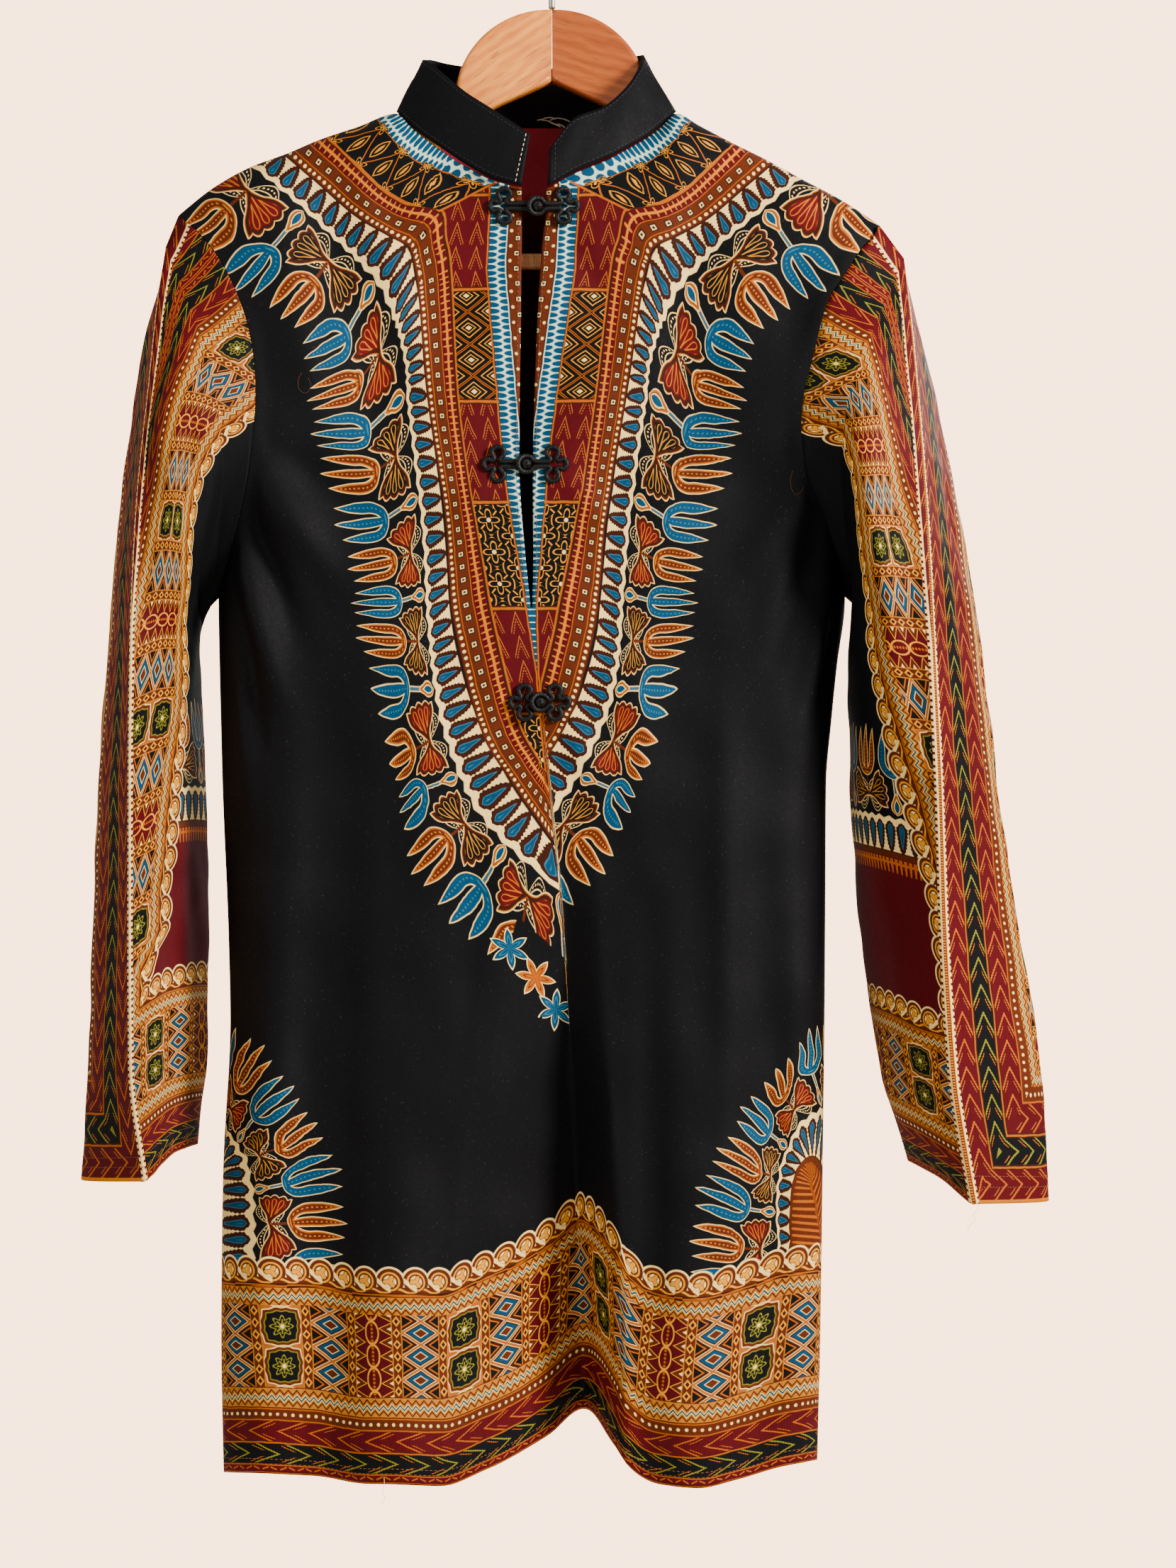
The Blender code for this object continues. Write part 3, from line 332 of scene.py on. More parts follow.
class Rails:
    # reads any point of the cloth as (along, across) a band drawn between given edges
    def __init__(self, stations, alongs, spare=0.25, steps=5):
        stations = np.array(stations, float).reshape(len(stations), -1, 2)
        lines, counts = (np.concatenate([2 * rows[:1] - rows[1:2], rows, 2 * rows[-1:] - rows[-2:-1]])
                         for rows in (stations, np.array(alongs, float)))
        last = len(lines) - 1
        turns = [(i, k / steps) for i in range(last) for k in range(steps)] + [(last, 0)]
        fine = np.array([curved(*fourRound(lines, i), t) for i, t in turns])
        fineCounts = np.interp([i + t for i, t in turns], np.arange(last + 1), counts)
        inner = fine[:, :1] - spare * (fine[:, 1:2] - fine[:, :1])
        outer = fine[:, -1:] + spare * (fine[:, -1:] - fine[:, -2:-1])
        edges = fine.shape[1]
        fine = np.concatenate([inner, fine, outer], axis=1)
        rows, cols = fine.shape[:2]
        self.points = fine.reshape(-1, 2)
        across = [-spare, *range(edges), edges - 1 + spare]
        self.values = np.stack([np.repeat(fineCounts, cols), np.tile(across, rows)], -1)
        cells = [j * cols + i for j in range(rows - 1) for i in range(cols - 1)]
        corners = [corner for a in cells
                   for corner in ((a, a + 1, a + cols + 1), (a, a + cols + 1, a + cols))]
        self.corners = np.array(corners)
        self.tree = BVHTree.FromPolygons([(x, y, 0.0) for x, y in self.points], corners)

    def find(self, across, down):
        hits = [self.tree.find_nearest((x, y, 0.0)) for x, y in zip(across.tolist(), down.tolist())]
        corners = self.corners[[hit[2] for hit in hits]].T
        a, b, c = self.points[corners]
        wide, tall, to = b - a, c - a, np.array([tuple(hit[0])[:2] for hit in hits]) - a
        area = crossed(wide, tall)
        area = np.where(np.abs(area) < 1e-9, 1e-9, area)
        second, third = (crossed(*pair) / area for pair in ((to, tall), (wide, to)))
        weights = np.stack([1 - second - third, second, third])[..., None]
        return (self.values[corners] * weights).sum(axis=0).T


def crossed(one, other):
    return one[:, 0] * other[:, 1] - one[:, 1] * other[:, 0]


def alongEdge(stations, edge):
    return runLength(*np.array(stations, float)[:, 2 * edge:2 * edge + 2].T)


printBands = {
    "neck": Rails(neckRails, alongEdge(neckRails, 2)),
    "comb": Rails(combRails, alongEdge(combRails, 1)),
    "drop": Rails(dropRails, alongEdge(dropRails, 0)),
    "flower": Rails([row[1:] for row in flowerRails], [row[0] for row in flowerRails])}


def archBands(stations, side):
    # the arch's stations are read off the seam, so they are turned into lengths along the cloth
    rows = np.array(stations, float)
    spots = rows[:, 1:].reshape(len(rows), -1, 2).copy()
    z = shoulderLine - spots[:, :, 1] / 1000
    seam = read(body, sides[side], z)
    x = seam - side * np.maximum(spots[:, :, 0], 0) / 1000
    arcs = np.abs(arcAt(frontArc, seam, z) - arcAt(frontArc, x, z))
    spots[:, :, 0] = arcs + np.minimum(spots[:, :, 0], 0)
    drops = spots[:, :2].reshape(len(rows), -1)
    return Rails(spots[:, 1:], rows[:, 0]), Rails(drops, alongEdge(drops, 1))


arches = {-1: archBands(leftArch, -1), 1: archBands(rightArch, 1)}
print("print lines ready")


def link(name, mesh):
    item = bpy.data.objects.new(name, mesh)
    bpy.context.scene.collection.objects.link(item)
    return item


def sheetMesh(name, points, faces):
    mesh = bpy.data.meshes.new(name)
    mesh.from_pydata(points.tolist(), [], faces.tolist())
    mesh.shade_smooth()
    return link(name, mesh)


def pointValues(item, name, *columns):
    columns = [*columns, *[np.zeros(len(columns[0]))] * (3 - len(columns))]
    setValues(item, name, "POINT", np.stack(columns, -1))


def setValues(item, name, domain, values):
    data = item.data.attributes.new(name, "FLOAT_VECTOR", domain).data
    data.foreach_set("vector", values.astype(np.float32).ravel())


def paintCloth(item, names, rules, inside=()):
    # each face takes the last material whose rule holds for it
    kind = np.full(len(item.data.polygons), names.index("black"), np.int32)
    for name, holds in rules:
        kind[holds] = names.index(name)
    for name in (*names, *inside):
        item.data.materials.append(clothMaterials[name])
    item.data.polygons.foreach_set("material_index", kind)


def quads(rows, cols):
    j, i = np.meshgrid(np.arange(rows - 1), np.arange(cols - 1), indexing="ij")
    a = (j * cols + i).ravel()
    return np.stack([a, a + cols, a + cols + 1, a + 1], -1)


def gridNormals(points):
    return unit(np.cross(np.gradient(points, axis=1), np.gradient(points, axis=0)))


def creaseHeight(rows, x, z):
    # ridges (plus) and troughs (minus) along short lines, tapered to both ends
    total = np.zeros(x.shape)
    for x0, z0, x1, z1, width, height in rows:
        dx, dz = x1 - x0, z1 - z0
        t = np.clip(((x - x0) * dx + (z - z0) * dz) / (dx * dx + dz * dz), 0, 1)
        away = np.hypot(x - x0 - dx * t, z - z0 - dz * t) / width
        total += height * np.exp(-away * away) * (0.25 + 0.75 * np.sin(np.pi * np.clip(t, 0.04, 1)))
    return total


def softWaves(seed, x, z, strength, long=0.07, short=0.02, count=16):
    pick = random.Random(seed)
    total = np.zeros(x.shape)
    for _ in range(count):
        length = short + (long - short) * pick.random()
        turn = pick.gauss(0.0, 0.9)
        total += (length / long) * np.sin(2 * np.pi * (x * math.cos(turn) + z * math.sin(turn))
                                          / length + 6.283 * pick.random())
    return total * strength / math.sqrt(count)


def wall(item, thickness, inside=0, rim=0):
    # the cloth's own thickness, evenly to both sides
    shell = item.modifiers.new("Cloth wall", "SOLIDIFY")
    shell.thickness = thickness
    shell.offset = 0.0
    shell.use_even_offset = False
    shell.use_rim = True
    shell.material_offset = inside
    shell.material_offset_rim = rim
    return item


frontCreases = metres(0,
    # armpit drags, left and right of the picture
    (-1960, -3700, -1560, -4700, 95, 85), (-1990, -3950, -1700, -5000, 75, -80),
    (-2000, -4050, -1830, -5300, 70, 70), (-1900, -3500, -1330, -4300, 120, -60),
    (-1850, -3350, -1150, -3900, 120, 35), (-1960, -4300, -1880, -5800, 60, -35),
    (1720, -3850, 1400, -4750, 85, 50), (1760, -4100, 1560, -5200, 60, -50),
    (1700, -3600, 1180, -4250, 110, -40), (1640, -3350, 1000, -3800, 120, 30),
    (1770, -4350, 1640, -5900, 60, 35),
    # from the shoulders
    (-1500, -1750, -950, -3500, 150, 30), (-1250, -1650, -700, -3300, 110, -30),
    (-1750, -2000, -1350, -3600, 130, -28), (950, -1750, 700, -3200, 130, 24),
    (1280, -1850, 1150, -3300, 120, -24), (1560, -2100, 1450, -3300, 110, 22),
    # beside the slit, where the frogs hold it
    (-200, -2000, -560, -2550, 90, 20), (50, -2050, 400, -2600, 90, 18),
    (-260, -3560, -640, -3900, 80, -18), (40, -3600, 400, -3950, 80, -18),
    (-180, -5060, -500, -5700, 100, 22), (60, -5080, 330, -5650, 90, -22),
    # down the skirt
    (-450, -5900, -560, -8800, 140, 32), (-1250, -5400, -1300, -8200, 130, 28),
    (-1700, -6200, -1720, -9300, 120, -32), (1060, -5300, 1180, -8200, 120, -28),
    (620, -6300, 640, -9000, 100, 26), (1420, -6500, 1440, -9200, 110, 30),
    (-840, -4400, -780, -6200, 160, -26), (500, -4300, 560, -6000, 140, -22))
backCreases = metres(0,
    (-1930, -3800, -1500, -4900, 90, 50), (-1980, -4100, -1780, -5300, 65, -45),
    (1700, -3800, 1340, -4800, 90, 45), (1740, -4150, 1560, -5300, 65, -45),
    (-1500, -1900, -1000, -3400, 140, 28), (1250, -1950, 850, -3300, 130, -26),
    (-700, -1700, -500, -3000, 120, -22), (500, -1680, 350, -2900, 120, 22),
    (-1550, -5800, -1620, -8800, 140, 32), (-700, -6000, -760, -9000, 150, -32),
    (350, -5600, 380, -8600, 140, 30), (1300, -6000, 1340, -9000, 130, -30))


def edgeFade(x, z, topZ, reach=0.012):
    # creases die away towards the seams, so that the seams still meet
    left = x - read(body, "left", z)
    right = read(body, "right", z) - x
    return blend(0, reach, left) * blend(0, reach, right) * blend(0, 0.020, topZ - z)


# mm of print, by mm down, by which the slit's column runs ahead of the bands beside it
columnHidden = ((163, 0), (243, 9), (308, 16), (372, 24), (415, 27))
# the same that the centre fold hides on the viewer's right
foldSwallows = ((300, 0), (387, 10), (436, 20), (485, 37), (534, 57), (573, 72), (640, 95))


def buildFront():
    sheets = [frontSheet(half, evenAcross(frontDepth, sides[half], "centre", count)[::-half],
                         panel["frontRows"]) for half, count in panel["frontColumns"].items()]
    x, y, z, low = (np.concatenate(pair, axis=1) for pair in zip(*sheets))
    points = place(x, y, z)
    slit = panel["frontColumns"][-1]                     # first column on the viewer's right
    normal = np.concatenate([gridNormals(points[:, :slit]), gridNormals(points[:, slit:])], axis=1)
    rise = creaseHeight(frontCreases, x, z) + softWaves(11, x, z, 0.0020, 0.12, 0.03)
    fade = edgeFade(x, z, z[:1])
    for height, *_ in frogs["rows"]:
        apart = np.hypot(x - read(body, "centre", height), z - height) / panel["frogReach"]
        fade = fade * (1 - np.exp(-apart ** 4))
    points = points + normal * (rise * fade)[..., None]
    lifted = points - normal * panel["stitchLift"]
    closed = z[:, slit - 1] < panel["slitEnd"]
    opened = ~closed[4:]
    seams["front"] += [lifted[-4], lifted[-3], lifted[4:, slit - 2][opened],
                       lifted[4:, slit + 1][opened]]
    # one column of points at the centre below the slit, two along it
    index = np.arange(x.size).reshape(x.shape)
    index[closed, slit] = index[closed, slit - 1]
    points[closed, slit] = points[closed, slit - 1]
    keep = np.ones((len(x) - 1, x.shape[1] - 1), bool)
    keep[:, slit - 1] = False
    corners = index.ravel()[quads(*x.shape)[keep.ravel()]]
    used, faces = np.unique(corners, return_inverse=True)
    faces = faces.reshape(corners.shape)
    item = sheetMesh("tunic_front", points.reshape(-1, 3)[used], faces)
    x, z, low = (np.ravel(values)[used] for values in (x, z, low))
    across, down = np.abs(arcAt(frontArc, x, z)), (shoulderLine - z) * 1000
    column = across + np.interp(down, *zip(*columnHidden))
    onRight = blend(0, 0.0015, x - read(body, "centre", z))
    across = across + np.interp(down, *zip(*foldSwallows)) * onRight
    pointValues(item, "columnPrint", column, down, across)
    shares = {}
    for name, band in printBands.items():
        along, shares[name] = band.find(across, down)
        pointValues(item, name + "Print", along, shares[name])
    comb, flower = shares["comb"], shares["flower"]
    inside = (means(comb, faces) < 0.5) | (means(np.abs(comb), faces) < 0.35)
    paintCloth(item, ("neck", "flowers", "arch", "black", "vine", "border"),
               (("flowers", means(flower, faces) < 2.2), ("neck", inside),
                *lowerPrint(item, faces, x, z, low, frontArc)))
    return wall(item, panel["wall"])


def means(values, faces):
    return values[faces].mean(axis=1)


def lowerPrint(item, faces, x, z, low, table):
    # the hem's and both side arches' coordinates, and which faces carry them
    above = (z - low) * 1000
    pointValues(item, "borderPrint", arcAt(table, x, z), above)
    onLeft = x < 0.5 * (read(body, "left", z) + read(body, "right", z))
    found = np.full((4, len(x)), 9.0)
    for side, bands in arches.items():
        inward = np.abs(arcAt(table, read(body, sides[side], z), z) - arcAt(table, x, z))
        near = (inward < 150) & (onLeft == (side < 0)) & (above < 330)
        for k, band in enumerate(bands):
            found[2 * k:2 * k + 2, near] = band.find(inward[near], (shoulderLine - z[near]) * 1000)
    pointValues(item, "archFlowers", *found[:2])
    pointValues(item, "archDrops", *found[2:])
    height = means(above, faces)
    return (("arch", means(found[1], faces) < 2.2), ("vine", height < 141), ("border", height < 118))


def buildBack():
    across = evenAcross(backDepth, "left", "right", panel["backColumns"])
    x, y, z, low = backSheet(across, panel["backRows"])
    points = place(x, y + 0.0001, z)
    normal = -gridNormals(points)
    rise = creaseHeight(backCreases, x, z) + softWaves(23, x, z, 0.0020, 0.12, 0.03)
    points = points + normal * (rise * edgeFade(x, z, z[:1]))[..., None]
    lifted = points - normal * panel["stitchLift"]
    seams["back"] += [lifted[-3], lifted[-2]]
    faces = quads(*x.shape)[:, ::-1]
    item = sheetMesh("tunic_back", points.reshape(-1, 3), faces)
    rules = lowerPrint(item, faces, x.ravel(), z.ravel(), low.ravel(), backArc)
    paintCloth(item, ("arch", "black", "vine", "border"), rules, ("backInside",) * 4)
    return wall(item, panel["wall"], inside=4)


sleeveColumns = ("share", "ridgeX", "ridgeY", "ridgeZ", "faceX", "faceY", "faceZ",
                 "underX", "underY", "underZ", "outerX", "outerY", "outerZ")
sleeveLeft = {
    "columns": sleeveColumns,
    "rows": metres(1,
        (0.08, -2405, -430, -2200, -2080, -620, -3200, -2135, -80, -4440, -2440, -80, -2800),
        (0.16, -2450, -510, -2500, -2200, -680, -3400, -2175, -20, -4520, -2570, 60, -3080),
        (0.28, -2510, -590, -3060, -2310, -680, -3800, -2200, 80, -4660, -2650, 180, -3600),
        (0.4, -2590, -640, -3850, -2380, -560, -4300, -2190, 170, -4900, -2725, 230, -4250),
        (0.5, -2625, -670, -4600, -2400, -400, -4900, -2175, 250, -5300, -2780, 200, -4950),
        (0.62, -2636, -680, -5500, -2400, -290, -5650, -2155, 310, -5900, -2835, 140, -5700),
        (0.75, -2636, -670, -6400, -2400, -230, -6450, -2150, 330, -6600, -2857, 80, -6500),
        (0.88, -2630, -650, -7300, -2400, -190, -7250, -2160, 330, -7250, -2890, 40, -7350),
        (1, -2538, -620, -8035, -2360, -160, -7860, -2220, 290, -7800, -2930, 0, -8021)),
}
sleeveRight = {
    "columns": sleeveColumns,
    "rows": metres(1,
        (0.08, 2200, -440, -2270, 1830, -680, -3300, 1955, -80, -4480, 2260, -80, -2900),
        (0.16, 2230, -530, -2560, 1890, -750, -3550, 1940, -10, -4580, 2385, 80, -3200),
        (0.28, 2280, -640, -3100, 1940, -780, -3900, 1900, 80, -4720, 2490, 180, -3650),
        (0.4, 2340, -720, -3900, 1980, -700, -4400, 1875, 160, -4950, 2620, 200, -4320),
        (0.5, 2380, -760, -4700, 2010, -540, -5000, 1880, 230, -5400, 2715, 160, -4950),
        (0.62, 2420, -770, -5600, 2060, -380, -5800, 1910, 280, -6050, 2810, 80, -5750),
        (0.75, 2445, -750, -6450, 2120, -280, -6600, 1990, 290, -6750, 2920, 20, -6500),
        (0.88, 2500, -720, -7350, 2200, -240, -7350, 2085, 280, -7350, 3065, -20, -7400),
        (1, 2631, -690, -8177, 2400, -240, -7990, 2240, 240, -7900, 3107, -40, -8150)),
}
sleeve = {"armholeMarks": (0.0, 0.45, 1.0, 1.20, 1.58, 2.0), "gap": 0.0003, "lowGap": 0.0002,
          "top": {-1: -0.1999, 1: -0.2060}, "rows": 190, "around": 92, "switch": 2.35}


def armholeEdge(side, around):
    around = np.clip(around, 0.0, 2.0)
    z = partWay(sleeve["top"][side], panel["underarm"], np.where(around <= 1, around, 2 - around))
    depth = np.where(around <= 1, read(body, "frontEdge", z), read(body, "backEdge", z))
    return np.stack([read(body, sides[side], z), depth, z], -1)


def sleeveSheet(table, side, shares, arounds):
    # the rings' points, apparent: share 0 at the armhole to 1 at the cuff, around 0 to 5
    first = table["rows"][0][0]
    knots = [np.stack([read(table, name + axis, np.maximum(shares, first)) for axis in "XYZ"], -1)
             for name in ("ridge", "face", "under", "outer")]
    knots.insert(3, (knots[2] + knots[3]) / 2 + np.array([0, 0.013, 0]))
    rings = np.zeros((len(shares), len(arounds), 3))
    for n, around in enumerate(arounds):
        i = min(int(around), 4)
        t = around - i
        here, after = knots[i], knots[(i + 1) % 5]
        before = knots[i - 1] if i > 0 else here * 1.5 - after * 0.5
        beyond = knots[(i + 2) % 5] if i < 4 else after * 1.5 - here * 0.5
        rings[:, n] = ((1 + 2 * t) * (1 - t) ** 2 * here + t * t * (3 - 2 * t) * after
                       + t * (1 - t) ** 2 * (after - before) * 0.5
                       - t * t * (1 - t) * (beyond - here) * 0.5)
    marks = np.interp(arounds, range(6), sleeve["armholeMarks"])
    edge = armholeEdge(side, marks)
    along = unit(armholeEdge(side, marks + 0.01) - armholeEdge(side, marks - 0.01))
    away = rings[0] - edge
    away -= along * (away * along).sum(-1, keepdims=True)
    reach = sleeve["gap"] + sleeve["lowGap"] * blend(0.5, 0.9, 1 - np.abs(marks - 1))
    start = edge + unit(away) * reach[:, None]
    return partWay(start, rings, np.clip(shares / first, 0, 1)[:, None, None])


def unit(vectors):
    return vectors / np.maximum(np.linalg.norm(vectors, axis=-1, keepdims=True), 1e-12)


# x and z as the viewer sees them, on the face towards the viewer
sleeveCreases = {
    -1: metres(0,
        (-2120, -3600, -2330, -4500, 60, 45), (-2080, -3900, -2280, -4800, 50, -40),
        (-2160, -3100, -2420, -4000, 70, -40), (-2250, -2700, -2480, -3500, 70, 30),
        (-2300, -4700, -2480, -5400, 70, 26), (-2180, -6000, -2500, -6300, 80, -22),
        (-2250, -7000, -2560, -6900, 80, 20)),
    1: metres(0,
        (1980, -3700, 2160, -4700, 60, 42), (2080, -3300, 2260, -4300, 70, -36),
        (1950, -4200, 2060, -5200, 60, -34), (2100, -4700, 2300, -5500, 70, 26),
        (2020, -6100, 2350, -6400, 80, -20), (2180, -7200, 2420, -7000, 80, 20)),
}
# how far, in mm, the border lies from the pressed edge, going up from the cuff
borderDrift = {
    -1: ((0, 112), (125, 107), (144, 84), (205, 76), (277, 60), (349, 42), (430, 10), (500, -20),
         (600, -40)),
    1: ((0, 136), (140, 128), (193, 120), (229, 108), (289, 91), (350, 66), (430, 22), (500, -15),
        (600, -40)),
}


def buildSleeve(name, table, side):
    first = table["rows"][0][0]
    shares = np.concatenate([np.linspace(0, first, 10)[:-1],
                             np.linspace(first, 1, sleeve["rows"] - 9)])
    fine = np.linspace(0, 5, 900)
    arcs = [runLength(*ring.T) for ring in sleeveSheet(table, side, np.array([0.3, 0.8]), fine)]
    around = np.interp(np.linspace(0, 1, sleeve["around"] + 1),
                       sum(arc / arc[-1] for arc in arcs) / 2, fine)
    x, y, z = np.moveaxis(sleeveSheet(table, side, shares, around), -1, 0)
    points = place(x, y, z)
    normal = gridNormals(points) * side
    rise = creaseHeight(sleeveCreases[side], x, z) * blend(0.0, 0.5, -normal[..., 1])
    rise += softWaves(31 + side, x + y, z, 0.0008)
    fade = blend(0.03, 0.12, shares)[:, None] * blend(0, 0.35, around) * blend(0, 0.35, 5 - around)
    points = points + normal * (rise * fade)[..., None]
    rows, cols = x.shape
    lengths = runLength(*np.moveaxis(points, -1, 0)) * 1000
    up = (runLength(*points[::-1].T).T[::-1] * 1000).ravel()
    cells = quads(rows, cols)
    onFace = np.tile(around[:-1] < sleeve["switch"], rows - 1)
    drift = np.interp(up, *zip(*borderDrift[side]))
    ends = np.where(onFace[:, None], lengths.ravel()[cells], (lengths[:, -1:] - lengths).ravel()[cells])
    values = np.stack([up[cells], ends, ends + drift[cells]], -1)
    wrapped = (cells // cols) * (cols - 1) + (cells % cols) % (cols - 1)
    if side > 0:
        wrapped, values = wrapped[:, ::-1], values[:, ::-1]
    item = sheetMesh(name, points[:, :-1].reshape(-1, 3), wrapped)
    setValues(item, "sleevePrint", "CORNER", values)
    outer = "sleeveOuterLeft" if side < 0 else "sleeveOuterRight"
    paintCloth(item, ("sleeveFace", outer, "black", "black"),
               (("sleeveFace", onFace), (outer, ~onFace)))
    seams["cuff_" + sides[side]] += [points[row] + normal[row] * panel["stitchLift"]
                                     for row in (-4, -6)]
    return wall(item, panel["wall"], rim=2)


collar = {
    "columns": ("share", "x", "y", "z", "topX", "topY", "topZ"),
    "rows": metres(1,
        (0, -186, -492, -1822, -132, -480, -1504), (0.05, -353, -482, -1783, -230, -470, -1438),
        (0.1, -534, -452, -1690, -372, -440, -1345), (0.15, -670, -405, -1600, -534, -390, -1240),
        (0.2, -784, -340, -1523, -655, -310, -1140), (0.24, -880, -250, -1445, -750, -200, -1060),
        (0.28, -960, -140, -1366, -795, -100, -1040), (0.32, -900, -10, -1380, -750, 10, -1040),
        (0.37, -780, 130, -1400, -650, 130, -1062), (0.44, -560, 260, -1420, -500, 250, -1082),
        (0.52, -90, 350, -1440, -90, 340, -1095), (0.6, 370, 270, -1420, 300, 260, -1070),
        (0.67, 590, 140, -1400, 450, 140, -1040), (0.72, 710, 10, -1380, 530, 20, -1015),
        (0.76, 775, -112, -1366, 570, -90, -1010), (0.8, 700, -210, -1436, 560, -200, -1055),
        (0.85, 617, -300, -1500, 490, -300, -1180), (0.9, 392, -430, -1626, 330, -410, -1330),
        (0.95, 150, -475, -1732, 150, -470, -1400), (1, -20, -492, -1822, -10, -500, -1600)),
    "wall": 0.0019, "steps": 170, "levels": 15, "bulge": 0.0015, "lift": 0.0013, "drop": 0.0016,
}


def collarPoint(share, level):
    x, y, z = (partWay(read(collar, low, share), read(collar, high, share), level)
               for low, high in (("x", "topX"), ("y", "topY"), ("z", "topZ")))
    spot = place(x, y, z)
    spot[..., 1] -= collar["bulge"] * np.sin(np.pi * level) * np.where(y < -0.012, 1, -1)
    low = (collar["lift"] + collar["drop"]) * (1 - level) * blend(0.0, 0.012, y)
    spot[..., 2] += collar["lift"] - low
    return spot


def buildCollar():
    share, level = np.meshgrid(np.linspace(0, 1, collar["steps"]),
                               np.linspace(0, 1, collar["levels"]))
    points = collarPoint(share, level)
    normal = gridNormals(points)
    ripple = softWaves(41, points[..., 0] + points[..., 1], points[..., 2], 0.0005, 0.05, 0.012)
    fade = np.sin(np.pi * level * 0.9) * blend(0, 0.04, share) * blend(0, 0.04, 1 - share)
    points = points + normal * (ripple * fade)[..., None]
    out = -normal if normal[7, 20, 1] > 0 else normal
    lifted = points + out * (collar["wall"] / 2 + 0.0001)
    seams["collar"] += [lifted[-2, 2:-2], lifted[1, 2:-2], lifted[1:-1, -3]]
    seams["collar_end"] += [lifted[1:-1, 2]]
    item = sheetMesh("collar_band", points.reshape(-1, 3), quads(*share.shape)[:, ::-1])
    item.data.materials.append(clothMaterials["collar"])
    return wall(item, collar["wall"])


def dye(red, green, blue):
    parts = [((c / 255 + 0.055) / 1.055) ** 2.4 if c > 10 else c / 255 / 12.92
             for c in (red, green, blue)]
    return (*parts, 1.0)


dyes = {"black": dye(10, 10, 13), "deepRed": dye(76, 6, 14), "red": dye(90, 9, 14),
        "rust": dye(84, 32, 10), "brown": dye(50, 19, 8), "orange": dye(172, 84, 0),
        "gold": dye(220, 142, 18), "mustard": dye(200, 112, 0), "cream": dye(252, 214, 132),
        "blue": dye(8, 62, 92), "sky": dye(40, 104, 132), "teal": dye(26, 70, 72),
        "lime": dye(122, 116, 26), "tan": dye(158, 84, 24), "slate": dye(55, 84, 98),
        "pale": dye(190, 216, 196), "straw": dye(178, 108, 20)}


class Ink:
    # one number that changes over the cloth; sums and products of inks make the nodes for them
    def __init__(self, tree, socket):
        self.tree = tree
        self.socket = socket

    def math(self, operation, *others):
        return mathNode(self.tree, operation, self, *others)

    def __add__(self, other):
        return self.math("ADD", other)

    def __sub__(self, other):
        return self.math("SUBTRACT", other)

    def __rsub__(self, other):
        return mathNode(self.tree, "SUBTRACT", other, self)

    def __mul__(self, other):
        return self.math("MULTIPLY", other)

    def __truediv__(self, other):
        return self.math("DIVIDE", other)

    def __abs__(self):
        return self.math("ABSOLUTE")

    def least(self, *others):
        return self.chain("MINIMUM", others)

    def most(self, *others):
        return self.chain("MAXIMUM", others)

    def chain(self, operation, others):
        found = self
        for other in others:
            found = found.math(operation, other)
        return found

    def away(self, other):
        return abs(self - other)

    def near(self, pitch):
        # distance to the nearest whole multiple of the pitch
        return self.math("PINGPONG", pitch / 2)

    def wrapped(self, pitch):
        return self.math("WRAP", pitch / 2, -pitch / 2)

    def sine(self, rate):
        return (self * rate).math("SINE")

    def cosine(self, rate):
        return (self * rate).math("COSINE")

    def turn(self, across):
        # the angle of the point (across, self)
        return self.math("ARCTAN2", across)

    def long(self, other):
        # length of the pair
        both = newNode(self.tree, "ShaderNodeCombineXYZ", {0: self, 1: other}).outputs[0]
        length = newNode(self.tree, "ShaderNodeVectorMath", {0: both}, operation="LENGTH")
        return Ink(self.tree, length.outputs["Value"])

    def ranged(self, low, high, toLow, toHigh):
        node = newNode(self.tree, "ShaderNodeMapRange", {
            "Value": self, "From Min": low, "From Max": high, "To Min": toLow, "To Max": toHigh})
        return Ink(self.tree, node.outputs["Result"])

    def below(self, edge, soft=0.22):
        if isinstance(edge, Ink):
            return (self - edge).below(0.0, soft)
        return self.ranged(edge - soft, edge + soft, 1.0, 0.0)

    def above(self, edge, soft=0.22):
        return self.ranged(edge - soft, edge + soft, 0.0, 1.0)

    def between(self, low, high, soft=0.22):
        return self.away((low + high) / 2).below((high - low) / 2, soft)

    def shaped(self, spots, reach):
        # a curve drawn through given spots of (place, value); values stay within plus or minus the
        # reach
        low, high = spots[0][0], spots[-1][0]
        node = self.tree.nodes.new("ShaderNodeFloatCurve")
        points = node.mapping.curves[0].points
        while len(points) < len(spots):
            points.new(0.5, 0.5)
        for point, (at, value) in zip(points, spots):
            point.location = ((at - low) / (high - low), 0.5 + value / reach / 2)
        node.mapping.update()
        feed(self.tree, self.ranged(low, high, 0.0, 1.0), node.inputs["Value"])
        return (Ink(self.tree, node.outputs[0]) - 0.5) * (2 * reach)

    def ramp(self, low, high, stops):
        # steps of colour: each stop holds from its place on
        node = self.tree.nodes.new("ShaderNodeValToRGB")
        ramp = node.color_ramp
        ramp.interpolation = "CONSTANT"
        while len(ramp.elements) < len(stops):
            ramp.elements.new(0.5)
        for element, (at, colour) in zip(ramp.elements, stops):
            element.position = (at - low) / (high - low)
            element.color = (*colour, 1.0)
        feed(self.tree, self.ranged(low, high, 0.0, 1.0), node.inputs[0])
        return node.outputs[0]


def mathNode(tree, operation, *items):
    return Ink(tree, newNode(tree, "ShaderNodeMath", enumerate(items), operation=operation).outputs[0])


def feed(tree, item, socket):
    # links an ink or a socket, or sets a plain value
    item = item.socket if isinstance(item, Ink) else item
    if isinstance(item, bpy.types.NodeSocket):
        tree.links.new(item, socket)
    else:
        socket.default_value = item


def fill(tree, sockets, items):
    for key, item in dict(items).items():
        feed(tree, item, sockets[key])


